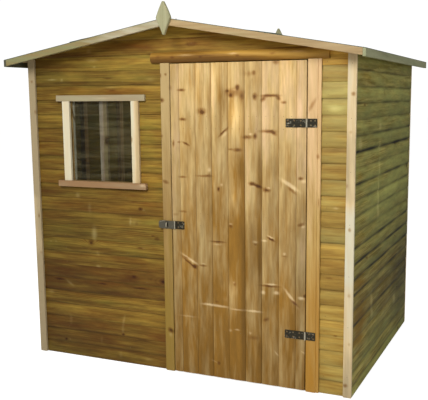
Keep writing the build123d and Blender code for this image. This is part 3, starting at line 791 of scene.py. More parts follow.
# Knots, scars and streaks as marked() reads them
front_marks = (
    (-687, 1007, 13, 14, 0, -0.5), (-607, 933, 11, 28, 0, -0.35), (-480, 940, 18, 8, 0, 0.3),
    (-257, 947, 10, 7, 0, 0.8), (-236, 940, 8, 5, 0, -0.4), (-300, 867, 30, 20, 0, -0.35),
    (-327, 868, 5, 16, 0, -0.6), (-285, 860, 10, 12, 0, 0.3), (-580, 780, 14, 32, 0, -0.8),
    (-153, 778, 14, 9, 0, 0.55), (-180, 795, 10, 4, 0, 0.4), (-263, 713, 22, 6, 0, 0.5),
    (-245, 716, 8, 4, 0, -0.5), (-900, 713, 8, 4, 0, -0.4), (-862, 714, 8, 4, 0, -0.4),
    (-560, 660, 12, 12, 0, -0.4), (-560, 583, 14, 6, 0, -0.65), (-847, 480, 28, 6, 0, 0.7),
    (-767, 460, 28, 7, -30, -0.45), (-313, 533, 42, 15, 0, 0.28), (-313, 540, 9, 6, 0, 0.5),
    (-533, 477, 26, 4, 0, 0.7), (-267, 473, 46, 4, 0, 0.7), (-913, 393, 20, 8, 0, -0.4),
    (-392, 265, 7, 26, -15, -0.5), (-400, 205, 8, 20, 0, -0.4), (-397, 180, 9, 7, 0, 0.85),
    (-773, 233, 10, 28, 0, -0.3), (-813, 100, 9, 6, 0, 0.85), (-553, 125, 8, 22, 0, -0.25),
    (-227, 47, 24, 9, 0, -0.4), (-420, 47, 11, 22, 0, -0.3), (-573, 1847, 14, 13, 0, -0.45),
    (-573, 1847, 26, 20, 0, 0.16), (-553, 1793, 32, 9, 0, -0.5), (-540, 1757, 9, 4, 0, -0.6),
    (-840, 1690, 26, 4, 0, -0.8), (-770, 1687, 8, 8, 0, -0.6), (-167, 1817, 20, 9, 0, 0.35),
    (-160, 1822, 8, 4, 0, -0.6), (-453, 1690, 26, 4, 0, 0.45), (-433, 1641, 40, 5, 0, -0.4),
    (-425, 1622, 20, 5, 0, 0.35), (-173, 1680, 24, 12, 0, -0.35), (85, 1868, 22, 12, 0, 0.5),
    (85, 1870, 8, 5, 0, -0.5), (885, 1517, 26, 13, 0, -0.25), (-645, 1395, 10, 5, 0, 0.3),
    (900, 1010, 14, 6, 0, -0.4), (870, 640, 16, 5, 0, 0.3), (905, 330, 10, 5, 0, 0.45),
)
side_spots = (
    (120, 990, 170, 60, 0.08, -0.5), (-560, 1690, 160, 50, -0.05, 0.5), (-650, 1150, 60, 60, 0.0, 0.6),
    (-620, 300, 100, 120, -0.06, 0.7), (200, 1700, 300, 40, -0.05, 0.4), (150, 330, 260, 80, -0.1, 0.3),
    (-350, 1330, 260, 20, -0.1, 0.5), (-400, 700, 250, 20, -0.1, 0.5), (-450, 140, 260, 40, 0.08, -0.4),
    (715, 900, 26, 900, -0.3, 0.0), (500, 200, 200, 160, -0.14, 0.1), (-500, 950, 160, 60, 0.05, 0.0),
    (600, 900, 800, 1500, -0.04, -0.3), (0, 450, 1200, 190, -0.37, 0.6), (100, 1020, 600, 90, 0.3, -0.4),
    (0, 660, 1000, 80, -0.2, 0.1), (0, 1380, 900, 90, -0.18, 0.0), (0, 1640, 1000, 110, 0.26, 0.0),
    (600, 400, 300, 330, -0.34, 0.2), (0, 200, 1000, 120, -0.12, 0.2), (-600, 500, 140, 500, 0.0, 0.5),
    (-190, 1180, 60, 330, 0.05, -0.2), (-560, 1660, 120, 60, 0.06, 0.2),
)
side_marks = (
    (-190, 1410, 24, 14, 0, -1.0), (-190, 1300, 16, 30, 0, -0.6), (-178, 1180, 18, 36, 0, -0.8),
    (-200, 1060, 13, 46, 0, -0.8), (-195, 945, 20, 44, 0, -1.0), (-150, 1010, 6, 50, 0, 0.3),
    (-312, 430, 22, 34, 0, -0.9), (-300, 350, 26, 22, 0, -0.8), (345, 275, 34, 24, 0, -0.9),
    (-545, 1640, 10, 14, 0, -0.45), (-555, 1535, 22, 7, 0, 0.5), (-520, 1530, 14, 5, 0, -0.4),
    (-642, 1337, 30, 24, 0, -1.0), (-85, 1600, 20, 20, 0, 0.25), (-60, 1598, 10, 12, 0, -0.3),
    (100, 1345, 30, 16, 0, -0.4), (-610, 870, 18, 10, 0, -0.3), (60, 1460, 20, 8, 0, 0.25),
    (330, 690, 24, 5, -20, 0.4), (-440, 700, 26, 8, -15, 0.4), (40, 430, 12, 18, 0, -0.25),
    (600, 1120, 20, 8, 0, 0.3), (-540, 480, 22, 6, 0, 0.35), (430, 1560, 22, 5, 0, 0.35),
)


class SHED_OT_cladding(bpy.types.Operator):
    """Boards of the four walls, each lapped over the one below"""
    bl_idname = "shed.cladding"
    bl_label = "Cladding"

    def execute(self, context):
        tone = colours()
        rng = np.random.default_rng(sizes().seed)
        shades = tone.cladding_pale, tone.cladding_deep, tone.cladding_warm, tone.cladding_cool
        grain = dict(ring=0.0075, figure=0.85, lines=0.5, blotch=2.3, cloud=0.6, shoot=tone.shoot_dull)
        kind = timber(*shades, knots=0.04, **grain)
        knotty = timber(*shades, knots=0.3, **grain)
        grain.update(blotch=2.6, figure=1.0, gloss=0.08)
        green = timber(tone.side_pale, tone.side_deep, tone.side_warm, tone.side_cool, knots=0.1, **grain)
        pale = timber(tone.strip_pale, tone.strip_deep, tone.cladding_warm, tone.strip_cool,
                      ring=0.0075, figure=0.6, lines=0.2, knots=0.04, cloud=0.4)
        strip_marks = [mark for mark in front_marks if mark[0] > opening_right * MILLIMETRES]
        front_wood = board_wood("cladding_front", kind, front_marks)
        strip_wood = board_wood("cladding_strip", pale, strip_marks)
        side_wood = board_wood("cladding_side", green, side_marks, along="y")
        plain_wood = board_wood("cladding", knotty)
        window = (window_left, window_right, window_foot, window_head)
        doorway = (opening_left, opening_right, 0.0, opening_top)
        strip_top = len(strip_stains) * sizes().course
        strip = (opening_right, inner_half, 0.0, strip_top)
        clear_of_roof = 0.002
        front = Wall(turn=0.0, face=wall_face, first=-inner_half, last=inner_half, shift=0.0,
                     top=under_roof(0) - clear_of_roof, half=gable_half, holes=(window, doorway, strip))
        beside_door = front._replace(first=opening_right, top=strip_top, holes=())
        back = front._replace(turn=math.pi, holes=())
        right = Wall(turn=math.pi / 2, face=-half_width, first=wall_face, last=-wall_face,
                     shift=sizes().side_course_shift, top=eaves, half=straight_half, holes=())
        left = right._replace(turn=-math.pi / 2)

        def lay_wall(name, wall, material, look, *nodes):
            shells = Shells()
            clad(shells, rng, wall, look)
            shells.build(name + "_cladding", "shed", material, nodes)

        lay_wall("front", front, front_wood,
                 front_look(rng, front_stains, front_shades, front_spots, painted_highlight_joints),
                 "front_wall_left", "front_wall_over_door")
        lay_wall("strip", beside_door, strip_wood,
                 front_look(rng, strip_stains, strip_shades, front_spots), "front_wall_right")
        lay_wall("back", back, plain_wood, plain_look(rng, 1.05, -0.1), "back_wall")
        lay_wall("right", right, side_wood,
                 plain_look(rng, 1.31, -0.5, side_spots, painted_shade_joints, contrast=1.7), "right_wall")
        lay_wall("left", left, plain_wood, plain_look(rng, 0.98, -0.5), "left_wall")
        return {"FINISHED"}


# Planks with tongues

def plank_section(width, thickness, left_plain=False, right_plain=False, chamfer=None):
    """Across and depth round a tongued board: bow (2u - 1)^2 deep at the share u, with V edges.

    The tongue and its groove lie between two shares of the thickness. A plain side has neither,
    and no V, only a small break of its edge.
    """
    size = sizes()
    wide = size.joint_width
    deep = size.joint_depth if chamfer is None else chamfer
    plain = size.plank_bow + 0.0006
    u = np.linspace(wide / width, 1 - wide / width, 9)
    face = [(0, plain if left_plain else deep)]
    face += list(zip(u * width, size.plank_bow * (2 * u - 1) ** 2))
    face += [(width, plain if right_plain else deep)]
    low, high, reach = 0.4 * thickness, 0.62 * thickness, 0.006
    if not right_plain:
        face += [(width, low), (width + reach, low), (width + reach, high), (width, high)]
    face += [(width, thickness), (0, thickness)]
    if not left_plain:
        slack = size.joint_gap
        face += [(0, high + slack), (reach + slack, high + slack), (reach + slack, low - slack),
                 (0, low - slack)]
    return np.array(face)


def lay_planks(shells, rng, total, cover, first, thickness, length_range, place, look, chamfer=None):
    """Planks side by side from 0 to total, the first one first wide, each carried over length_range.

    place turns arrays of (along, across, depth) into points of the shed.
    """
    joints = [0.0, first]
    while joints[-1] + cover < total - 0.01:
        joints.append(joints[-1] + cover)
    joints.append(total)
    for number, (left, right) in enumerate(zip(joints[:-1], joints[1:])):
        section = plank_section(right - left, thickness, left == 0, right == total, chamfer)
        section = tidy_loop(section + [left, 0])
        start, stop = length_range
        points, faces = carried(section, start, stop, max(3, int((stop - start) / PLANK_STATION)))
        along, across, depth = np.moveaxis(points, -1, 0)
        heart = draw_boards(rng)
        share = np.clip((across - left) / (right - left), 0, 1)
        shade, stain = look(number, along, across, share, depth)
        grain = np.stack([along + heart[0], across - (left + right) / 2 + heart[1],
                          depth + heart[2]], axis=-1)
        shells.add(place(along, across, depth), faces, grain, shade, stain)


head_marks = ((-20, 1797, 12, 7, 0, 0.4), (150, 1795, 10, 7, 0, 0.35), (365, 1795, 10, 6, 0, 0.4),
              (60, 1806, 40, 5, 0, -0.4), (340, 1806, 22, 4, 0, -0.6), (560, 1800, 14, 6, 0, 0.35),
              (-110, 1800, 12, 7, 0, 0.3), (700, 1806, 40, 5, 0, -0.4))
level_marks = ((-225, 1085, 18, 7, 0, -0.6), (-640, 1075, 30, 6, 0, 0.12), (-480, 1580, 60, 5, 0, -0.3))
side_strip_marks = ((-298, 1345, 7, 12, 0, 0.7), (-757, 1250, 6, 30, 0, 0.12))
mullion_marks = ((-487, 1333, 8, 16, 0, 0.9), (-486, 1320, 9, 260, 0, 0.2))
# Along the corner trims: dull at the left corner, and on the right one dull and bleached by turns
corner_drifts = (("x", -0.99, 0.9, 1.4, -0.15), ("z", 1.44, 1.34, 0.0, 0.5), ("z", 1.08, 0.96, 0.0, -1.1),
                 ("z", 0.66, 0.56, 0.0, 0.55), ("z", 0.38, 0.05, 0.0, 0.9))
corner_marks = (
    (985, 1590, 9, 8, 0, 0.6), (975, 1400, 8, 8, 0, 0.25), (960, 1130, 7, 12, 0, 0.3),
    (978, 905, 6, 8, 0, 0.5), (980, 560, 8, 10, 0, 0.3), (985, 300, 7, 8, 0, 0.25),
    (968, 72, 10, 8, 0, 0.6), (-960, 1500, 6, 12, 0, 0.4), (-968, 870, 6, 10, 0, 0.5),
    (-965, 640, 6, 10, 0, 0.3), (-975, 1680, 8, 8, 0, 0.4),
)
# Knots and shoots on the door and its posts, as marked() reads them
door_marks = (
    (-104, 1700, 8, 10, 0, 0.8), (-67, 1706, 6, 6, 0, 0.6), (-39, 1634, 10, 12, 0, 0.3),
    (27, 1620, 18, 6, 0, 0.8), (-95, 1566, 12, 9, 0, 0.8), (33, 1462, 16, 7, 0, 0.8),
    (149, 1506, 22, 14, 0, 0.6), (155, 1498, 9, 7, 0, 0.7), (361, 1631, 9, 11, 0, 0.9),
    (342, 1604, 44, 18, 0, 0.5), (385, 1581, 10, 16, 0, 0.5), (322, 1588, 9, 8, 0, 0.6),
    (346, 1617, 14, 4, 0, -0.6), (302, 1612, 9, 6, 0, 0.5), (424, 1700, 26, 12, 0, 0.3),
    (455, 1706, 7, 9, 0, 0.5), (577, 1756, 14, 10, 0, 0.6), (458, 1581, 9, 14, 0, 0.85),
    (546, 1586, 40, 6, 0, 0.8), (506, 1568, 14, 9, 35, 0.7), (590, 1572, 12, 7, -35, 0.65),
    (621, 1550, 12, 6, 0, 0.65), (774, 1537, 34, 9, 60, 0.4), (277, 1394, 26, 5, 42, 0.85),
    (283, 1380, 22, 7, 42, -0.4), (-101, 1369, 8, 8, 0, 0.5), (-26, 1328, 5, 14, 0, 0.7),
    (8, 1336, 8, 5, 0, 0.5), (52, 1328, 18, 5, -25, 0.85), (414, 1369, 22, 8, 0, 0.7),
    (436, 1385, 9, 5, 0, -0.6),
    (461, 1375, 8, 12, 0, 0.8), (532, 1401, 36, 7, 0, 0.7), (566, 1391, 14, 7, -30, 0.7),
    (361, 1300, 20, 8, 0, 0.7), (317, 1303, 10, 5, 0, 0.5), (155, 1153, 38, 5, 0, 0.5),
    (185, 1158, 12, 7, 0, 0.4), (192, 1188, 8, 11, 0, -0.6), (27, 1144, 20, 5, 0, 0.6),
    (-79, 1112, 16, 8, -20, 0.6), (246, 1084, 6, 10, 0, 0.9), (264, 1109, 7, 7, 0, -0.5),
    (442, 1122, 14, 8, 0, 0.9), (476, 1110, 18, 7, -15, 0.9), (527, 1091, 16, 9, 0, 0.8),
    (455, 1108, 12, 4, 0, -0.5),
    (536, 1101, 8, 5, 0, -0.9), (655, 1122, 42, 8, -32, -1.0), (667, 1094, 24, 7, -40, 0.5),
    (608, 1125, 5, 18, 0, 0.3), (714, 1159, 10, 7, 0, 0.75), (731, 1144, 11, 8, 0, -0.6),
    (805, 1275, 6, 10, 0, 0.5), (-20, 931, 16, 8, 0, 0.3), (27, 950, 22, 5, 0, 0.45),
    (717, 916, 16, 7, 20, 0.6), (731, 906, 8, 7, 0, -0.5), (811, 1038, 5, 20, 0, 0.35),
    (-111, 766, 8, 10, 0, 0.6), (239, 792, 34, 4, 0, 0.75), (234, 777, 24, 4, 0, -0.4),
    (317, 884, 10, 8, 0, 0.45), (317, 896, 8, 5, 0, -0.5), (461, 806, 13, 6, 0, -0.5),
    (461, 793, 8, 6, 0, 0.4), (552, 827, 17, 5, -25, 1.0), (548, 839, 14, 4, -20, -0.9),
    (512, 817, 12, 5, 0, -0.8), (627, 753, 7, 7, 0, -0.6), (627, 741, 15, 4, 0, 0.35),
    (66, 680, 44, 5, -30, -0.9), (58, 662, 40, 4, -35, 0.7), (94, 641, 12, 8, 0, 0.9),
    (40, 690, 16, 4, -20, 0.5),
    (146, 650, 20, 5, 0, 0.6), (150, 661, 10, 4, 0, -0.45), (339, 560, 8, 10, 0, 0.4),
    (334, 571, 6, 5, 0, -0.45), (542, 570, 42, 5, 0, 0.7), (552, 580, 24, 4, 0, -0.9),
    (506, 531, 9, 8, 0, -0.9), (582, 536, 12, 8, 0, -0.9), (664, 518, 42, 6, -52, -1.0),
    (684, 490, 20, 6, -40, 0.9), (740, 534, 5, 8, 0, 0.8), (722, 520, 14, 7, 0, -0.8),
    (230, 450, 12, 7, 0, 0.35), (280, 469, 15, 13, 0, -0.2), (180, 430, 34, 5, 0, -0.75),
    (250, 427, 40, 5, 0, -0.8), (345, 418, 28, 4, 0, -0.6), (450, 420, 36, 5, 0, -0.8),
    (48, 347, 44, 4, 0, -0.4), (-64, 250, 15, 10, -25, 0.85), (-66, 224, 9, 13, 0, -0.3),
    (310, 294, 9, 6, 0, -0.45), (352, 303, 13, 4, 0, -0.55), (449, 269, 32, 10, 0, 0.3),
    (430, 294, 7, 6, 0, -0.5), (524, 381, 14, 8, 30, 0.55), (583, 197, 15, 4, -50, -0.5),
    (239, 94, 7, 9, 0, 0.6), (212, 100, 18, 4, -20, -0.35), (735, 222, 13, 4, -30, -0.45),
)
door_spots = (
    (130, 1718, 11, 70, 0.45, -0.3), (221, 1625, 10, 120, 0.42, -0.2), (265, 1560, 20, 120, -0.12, 0.5),
    (340, 1500, 22, 65, 0.3, 0.2), (339, 1044, 12, 42, 0.4, 0.3), (375, 1206, 24, 80, -0.22, 0.7),
    (574, 1237, 13, 110, -0.16, 0.6), (487, 1206, 9, 130, -0.3, 0.5), (387, 450, 14, 460, -0.3, 0.7),
    (365, 838, 22, 70, -0.2, 0.6), (486, 712, 9, 150, -0.36, 0.5), (611, 494, 14, 55, -0.12, 0.5),
    (30, 150, 14, 120, -0.22, 0.5), (418, 1100, 12, 480, 0.14, -0.3), (520, 1540, 20, 200, 0.2, -0.4),
    (512, 950, 14, 380, 0.12, -0.3), (715, 1600, 18, 160, -0.06, -0.2), (60, 1450, 30, 160, -0.04, 0.1),
    (486, 206, 9, 34, -0.25, 0.3), (640, 250, 40, 200, -0.06, 0.2), (720, 780, 18, 200, -0.04, -0.4),
    (350, 950, 600, 330, -0.08, 0.15), (640, 1000, 110, 330, -0.05, 0.2), (255, 1700, 30, 90, 0.12, -0.2),
    (157, 1650, 60, 120, 0.24, -0.1), (350, 1450, 45, 100, 0.24, -0.2), (640, 1680, 50, 130, 0.2, -0.1),
    (716, 600, 40, 330, -0.3, 0.1), (716, 1500, 30, 120, 0.14, -0.3), (445, 680, 50, 200, -0.14, 0.3),
    (640, 560, 60, 90, 0.1, 0.1), (345, 520, 60, 120, 0.12, -0.3), (270, 1350, 40, 260, -0.12, 0.1),
)
# The door's boards from the left: stain above 0 is golden, below 0 pinkish
door_stains = (-0.25, 0.0, -0.05, 0.1, 0.25, -0.1, -0.15, -0.15, -0.45)
door_shades = (0.85, 0.96, 0.87, 0.95, 0.99, 0.91, 0.91, 1.0, 0.94)
# How dark the painted shade is in each V joint, counted from the left, and down the board to its left
painted_joint_shades = (0.2, 0.25, 0.4, 0.5, 0.35, 0.75, 0.7, 0.25, 0.4, 0.2)


def door_look(number, along, across, share, depth):
    """Paler to the top of the door, golden brown to its foot, and painted shade in the V joints.

    Each board has painted light beside its left edge and painted shade beside its right one, where its
    rounded edges turn from the light.
    """
    light, warm = spotted(across + side_of("door_boards", 0, "x"), along, door_spots)
    # Painted shade in the V joints, and painted light and shade down the left and right of each board
    valley = smooth(0.0012, 0.003, depth) * ((share < 0.06) | (share > 0.94))
    joint = 1 - 0.42 * valley * np.where(share < 0.5, painted_joint_shades[number], painted_joint_shades[number + 1])
    right = painted_joint_shades[number + 1] * smooth(0.62, 0.97, share)
    shade = (0.58 + 0.17 * along) * joint * (1 + 0.1 * smooth(0.3, 0.03, share) - 0.2 * right)
    stain = door_stains[number] + 0.9 * smooth(1.5, 0.1, along) + 0.35 * right
    return shade * door_shades[number] * (1 + light), stain + warm


def plank_look(rng, brightness, stain):
    """Shade and stain of hidden planks, which differ at random, with painted shade in the V joints."""
    boards = 60
    tones = rng.uniform(-0.12, 0.12, boards)
    stains = rng.uniform(-0.25, 0.25, boards)

    def look(number, along, across, share, depth):
        # Painted shade in the V joints
        joint = 1 - 0.4 * smooth(0.0009, 0.0016, depth) * ((share < 0.06) | (share > 0.94))
        return (brightness + tones[number]) * joint, stain + stains[number]
    return look


def frame_timber(**grain):
    """The sawn timber of the framing, the ledges and the roof boards."""
    tone = colours()
    return timber(tone.frame_pale, tone.frame_deep, tone.door_warm, tone.cladding_cool, **grain)


class SHED_OT_door(bpy.types.Operator):
    """Upright tongued boards of the door, with the posts and the rounded board round it"""
    bl_idname = "shed.door"
    bl_label = "Door"

    def execute(self, context):
        size = sizes()
        tone = colours()
        rng = np.random.default_rng(size.seed + 1)
        low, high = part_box("door_boards")
        width = high[0] - low[0]
        first = (width - (int(width // size.door_board) - 1) * size.door_board) / 2
        shells = Shells()

        def place(along, across, depth):
            return np.stack([low[0] + across, low[1] + depth, along], axis=-1)

        lay_planks(shells, rng, width, size.door_board, first, high[1] - low[1],
                   (low[2], high[2]), place, door_look)
        boards = timber(tone.door_pale, tone.door_deep, tone.door_warm, tone.door_cool, ring=0.0085,
                        figure=0.65, knots=0.0, lines=0.26, blotch=2.8, cloud=0.42)
        shells.build("door_planks", "door",
                     board_wood("door_wood", boards, door_marks), ("door_boards",))
        grain = dict(ring=0.0085, figure=0.75, knots=0.0, lines=0.26)
        right = timber(tone.post_pale, tone.post_deep, tone.door_warm, tone.door_cool, **grain)
        left = timber(tone.post_dull, tone.post_dark, tone.post_foot, tone.post_top, **grain)
        # A mark that sits this close to the door's edge also shows on the post
        margin = 10
        left_marks = [mark for mark in door_marks if mark[0] < low[0] * MILLIMETRES + margin]
        right_marks = [mark for mark in door_marks if mark[0] > high[0] * MILLIMETRES - margin]
        dress(solid_wood("post_wood_left", left, "z", left_marks, ("z", 0.1, 1.75, 0.9, -1.0)),
              "door_post_left")
        dress(solid_wood("post_wood_right", right, "z", right_marks, ("z", 0.1, 1.6, 0.8, -0.6)),
              "door_post_right")
        head = timber(tone.head_pale, tone.head_deep, tone.head_shaded_foot, tone.head_lit_top, ring=0.008,
                      knots=0.4)
        head_low, head_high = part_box("door_head_board")
        # Painted light on the top of the rounded board and painted shade at its foot
        painted_top_light = ("z", head_low[2] + 0.004, head_high[2] - 0.012, 0.8, -0.6)
        # Painted light, growing towards the board's right end
        painted_light_right = ("x", 0.1, head_high[0] - 0.1, 0.35, -0.9)
        dress(solid_wood("head_wood", head, "x", head_marks, painted_top_light, painted_light_right), "door_head_board")
        planed("ledge_wood", frame_timber(), "x", "door_ledges")
        planed("brace_wood", frame_timber(), "z", "door_braces")
        return {"FINISHED"}


def pane_material():
    """Clear glass over the dark inside, smeared, and paler in level bands of dust and painted reflection.
    """
    tone = colours()
    recipe = Recipe("window_pane")
    place = recipe.place()
    smear = recipe.noise(recipe.stretched(place, 6.0, 6.0, 3.0), 3.0)
    rough = recipe.step(smear, 0.4, 0.8, 0.03, 0.14)
    band = recipe.noise(recipe.stretched(place, 2.6, 2.6, 34.0), 4.0, 0.6)
    # Paler level bands: dust, and painted reflection
    dust_and_reflection = recipe.step(recipe.math("MULTIPLY_ADD", smear, 0.5, band), 0.66, 1.0, 0.0, 0.6)
    base = recipe.mix(dust_and_reflection, tuple(tone.glass), tuple(tone.glass_smear_and_reflection))
    return recipe.finish(base, rough, Alpha=0.3)


class SHED_OT_trims(bpy.types.Operator):
    """Planed strips at the corners and round the window, and the pane"""
    bl_idname = "shed.trims"
    bl_label = "Corner trims and window"

    def execute(self, context):
        tone = colours()
        corner = timber(tone.trim_pale, tone.trim_deep, tone.trim_dull, tone.trim_white,
                        figure=0.6, knots=0.1)
        planed("trim_wood", corner, "z", "corner_trims", marks=corner_marks, drifts=corner_drifts)
        side = timber(tone.trim_pale, tone.trim_deep, tone.edge_pale, tone.trim_white,
                      figure=0.5, knots=0.1)
        golden = ("x", window_right + 0.012, window_right + 0.04, -0.6, 0.9)
        planed("window_side_wood", side, "z", "window_sides", marks=side_strip_marks, drifts=(golden,))
        level = timber(tone.sill_pale, tone.trim_dull, tone.sill_deep, tone.finial_pale,
                       figure=0.6, knots=0.1)
        sill = ("z", 1.2, 1.5, 1.0, -0.1)
        planed("trim_wood_level", level, "x", "window_head_and_sill", marks=level_marks, drifts=(sill,))
        inner = timber(tone.mullion_pale, tone.frame_deep, tone.mullion_dark, tone.trim_white, figure=0.5)
        left = side_of("window_mullion", 0, "x")
        shaded = ("x", left + 0.02, left + 0.03, -0.5, 0.9)
        planed("mullion_wood", inner, "z", "window_mullion", marks=mullion_marks, drifts=(shaded,))
        bead = timber(tone.trim_white, tone.finial_pale, tone.edge_green, tone.trim_white, figure=0.5)
        planed("bead_wood", bead, "z", "glazing_beads")
        dress(pane_material(), "window_glass")
        return {"FINISHED"}


class SHED_OT_roof(bpy.types.Operator):
    """Roof boards, felt in overlapping strips, and the boards along the roof's edges"""
    bl_idname = "shed.roof"
    bl_label = "Roof"

    def execute(self, context):
        size = sizes()
        tone = colours()
        rng = np.random.default_rng(size.seed + 2)
        cos, sin = math.cos(pitch), math.sin(pitch)
        plank_wood = board_wood("roof_plank_wood", frame_timber())
        felt = felt_material()
        thickness = roof_rise * cos
        sheet = (side_of("roof_felt_right", 1, "z") - ridge) * cos
        for side, name in ((1, "right"), (-1, "left")):
            def place(along, across, depth):
                """Across runs down the slope from the ridge, depth goes down from the top of the boards."""
                return np.stack([side * (across * cos - depth * sin), side * along,
                                 ridge - across * sin - depth * cos], axis=-1)

            def under(along, across, depth):
                """The same for boards that show their faces below, the first one clear of the ridge."""
                return place(-along, across + start, thickness - depth)

            shells = Shells()
            start = thickness * slope
            total = boards_edge / cos - start - thickness * slope
            lay_planks(shells, rng, total, size.roof_board, size.roof_board, thickness,
                       (-boards_end, boards_end), under, plank_look(rng, 0.95, -0.1), chamfer=0.002)
            shells.build("roof_planks_" + name, "shed", plank_wood,
                         ("roof_boards_" + name,))
            shells = Shells()
            lay_felt(shells, rng, place, sheet, roof_edge / cos - 2.2 * sheet * slope)
            shells.build("felt_" + name, "shed", felt, ("roof_felt_" + name,))
        edge = timber(tone.edge_pale, tone.edge_deep, tone.trim_dull, tone.edge_green, ring=0.005,
                      knots=0.2)
        planed("barge_wood_right", edge, "x", "bargeboards_right")
        grey = timber(tone.edge_grey, tone.edge_deep, tone.trim_white, tone.edge_green, ring=0.005,
                      knots=0.2)
        paler = ("x", -0.75, -0.05, -0.2, 0.4)
        planed("barge_wood_left", grey, "x", "bargeboards_left", drifts=(paler,))
        green = timber(tone.edge_green, tone.finial_deep, tone.eaves_painted_shade, tone.finial_pale, ring=0.005)
        # Painted shade on the left eaves board, seen from under the roof
        painted_shade_left = ("x", -1.0, 1.0, 0.9, -0.2)
        planed("eaves_wood", green, "y", "eaves_boards", drifts=(painted_shade_left,))
        finial = timber(tone.finial_pale, tone.finial_deep, tone.trim_deep, tone.finial_pale, knots=0.0)
        dress(solid_wood("finial_wood", finial, "z"), "finials")
        return {"FINISHED"}


def lay_felt(shells, rng, place, thickness, total):
    """Strips of felt up one slope, each lifted by the thickness where it lies over the one below.

    The lift is the thickness times a smooth step over the last of the overlap, and each strip
    ripples by half a millimetre along its lower edge.
    """
    size = sizes()
    least, ramp, stations = 0.02, 0.03, 60
    foot = total
    number = 0
    while foot > least:
        head = max(foot - size.felt_strip, 0.0)
        low = foot + (size.felt_overlap if number else 0.0)
        across = np.concatenate([np.linspace(head, foot, 9), np.linspace(foot, low, 5)[1:]])
        lift = thickness * smooth(foot - ramp, foot + 0.004, across) * (number > 0)
        top = np.stack([across, -lift - thickness], axis=1)
        bottom = np.stack([across, -lift], axis=1)[::-1]
        section = tidy_loop(np.concatenate([top, bottom]))
        points, faces = carried(section, -roof_end, roof_end, stations)
        along, across, depth = np.moveaxis(points, -1, 0)
        ripple = 0.0006 * np.sin(along * 9.0 + number * 2.1) + 0.0004 * np.sin(along * 23.0 + number)
        depth = depth - (ripple + 0.001) * smooth(low - 0.05, low, across) * (number > 0)
        grain = np.stack([along, across, depth], axis=-1)
        shells.add(place(along, across, depth), faces, grain, 1.0 + rng.uniform(-0.08, 0.08), 0.0)
        foot = head
        number += 1


def felt_material():
    """Grey-green mineral grains in bitumen, with weathered runs down the slope."""
    tone = colours()
    recipe = Recipe("mineral_felt")
    grain = recipe.stored("grain", "Vector")
    grit = recipe.add("TexVoronoi", {"Vector": grain, "Scale": 420.0}).outputs["Color"]
    grit = recipe.add("SeparateColor", (grit,)).outputs[0]
    wash = recipe.noise(recipe.stretched(grain, 7.0, 1.6, 1.0), 4.0, 0.6)
    share = recipe.math("MULTIPLY_ADD", wash, 0.9, recipe.math("MULTIPLY_ADD", grit, 0.6, -0.35))
    base = recipe.mix(recipe.math("MULTIPLY", share, 1.0, clamp=True), tuple(tone.felt),
                      tuple(tone.felt_grit))
    return recipe.finish(recipe.shaded(base, recipe.stored("shade")), 0.9, grit, 0.0008, 0.8)


class SHED_OT_framing(bpy.types.Operator):
    """Sawn timbers inside, and the boarded floor on its bearers"""
    bl_idname = "shed.framing"
    bl_label = "Framing and floor"

    def execute(self, context):
        size = sizes()
        tone = colours()
        rng = np.random.default_rng(size.seed + 3)
        kind = frame_timber(rough=0.6, knots=0.3)
        # The back studs are painted dark: painted shade for the dark inside of the shed
        dark = timber(tone.stud_pale, tone.stud_deep, tone.stud_deep, tone.stud_pale,
                      rough=0.7, knots=0.2)
        planed("back_stud_wood", dark, "z", "back_studs")
        planed("stud_wood", kind, "z", "front_studs", "side_wall_studs")
        planed("plate_wood", kind, "x", "front_sole_plates", "door_rail", "window_rails",
               "back_sole_plate", "rafters_left", "rafters_right", "floor_bearers")
        planed("side_plate_wood", kind, "y", "side_wall_plates", "ridge_beam")
        low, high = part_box("floor_boards")
        shells = Shells()

        def place(along, across, depth):
            return np.stack([low[0] + across, along, high[2] - depth], axis=-1)

        lay_planks(shells, rng, high[0] - low[0], size.floor_board, size.floor_board,
                   high[2] - low[2], (low[1], high[1]), place, plank_look(rng, 0.9, 0.0),
                   chamfer=0.0025)
        shells.build("floor_planks", "shed", board_wood("floor_wood", kind),
                     ("floor_boards",))
        return {"FINISHED"}


# Ironmongery and nails

def heads(shells, places, outward, radius, rise, slot=0.0, rings=5, spokes=16):
    """Domed heads: rise (1 - r^2) high at the share r of the radius, less a cross slot in the middle.

    outward is the way that the heads face. The slot is as deep as given where r is under slot_reach
    and the point is within half_arm, as a share of the radius, of the middle of either arm. The
    last ring lies at the depth of the skirt, which sinks each head's rim, and a flat face closes it.
    """
    slot_reach, half_arm, skirt = 0.62, 0.16, 0.0008
    places = np.atleast_2d(np.asarray(places, float))
    outward = np.asarray(outward, float)
    side = np.cross(outward, [0.0, 0.0, 1.0])
    if np.linalg.norm(side) < 0.1:
        side = np.array([1.0, 0.0, 0.0])
    side /= np.linalg.norm(side)
    other = np.cross(outward, side)
    r = np.concatenate([np.linspace(0, 1, rings)[1:], [1.0]])[:, None]
    turn = np.linspace(0, 2 * math.pi, spokes, endpoint=False)[None]
    a, b = r * np.cos(turn), r * np.sin(turn)
    height = rise * (1 - r ** 2) + 0 * turn
    height[-1] = -skirt
    arm = (np.minimum(np.abs(a), np.abs(b)) < half_arm) & (r < slot_reach)
    height = height - slot * arm
    grid = np.concatenate([[[0.0, 0.0, rise - slot]],
                           np.stack([a * radius, b * radius, height], axis=-1).reshape(-1, 3)])
    index = 1 + np.arange(rings * spokes).reshape(rings, spokes)
    ahead = np.roll(index, -1, axis=1)
    faces = [np.stack([np.zeros(spokes, int), index[0], ahead[0]], axis=-1),
             np.stack([index[:-1], index[1:], ahead[1:], ahead[:-1]], axis=-1).reshape(-1, 4),
             index[-1:, ::-1]]
    local = grid[:, :1] * side + grid[:, 1:2] * other + grid[:, 2:] * outward
    for place in places:
        shells.add(place + local, faces)


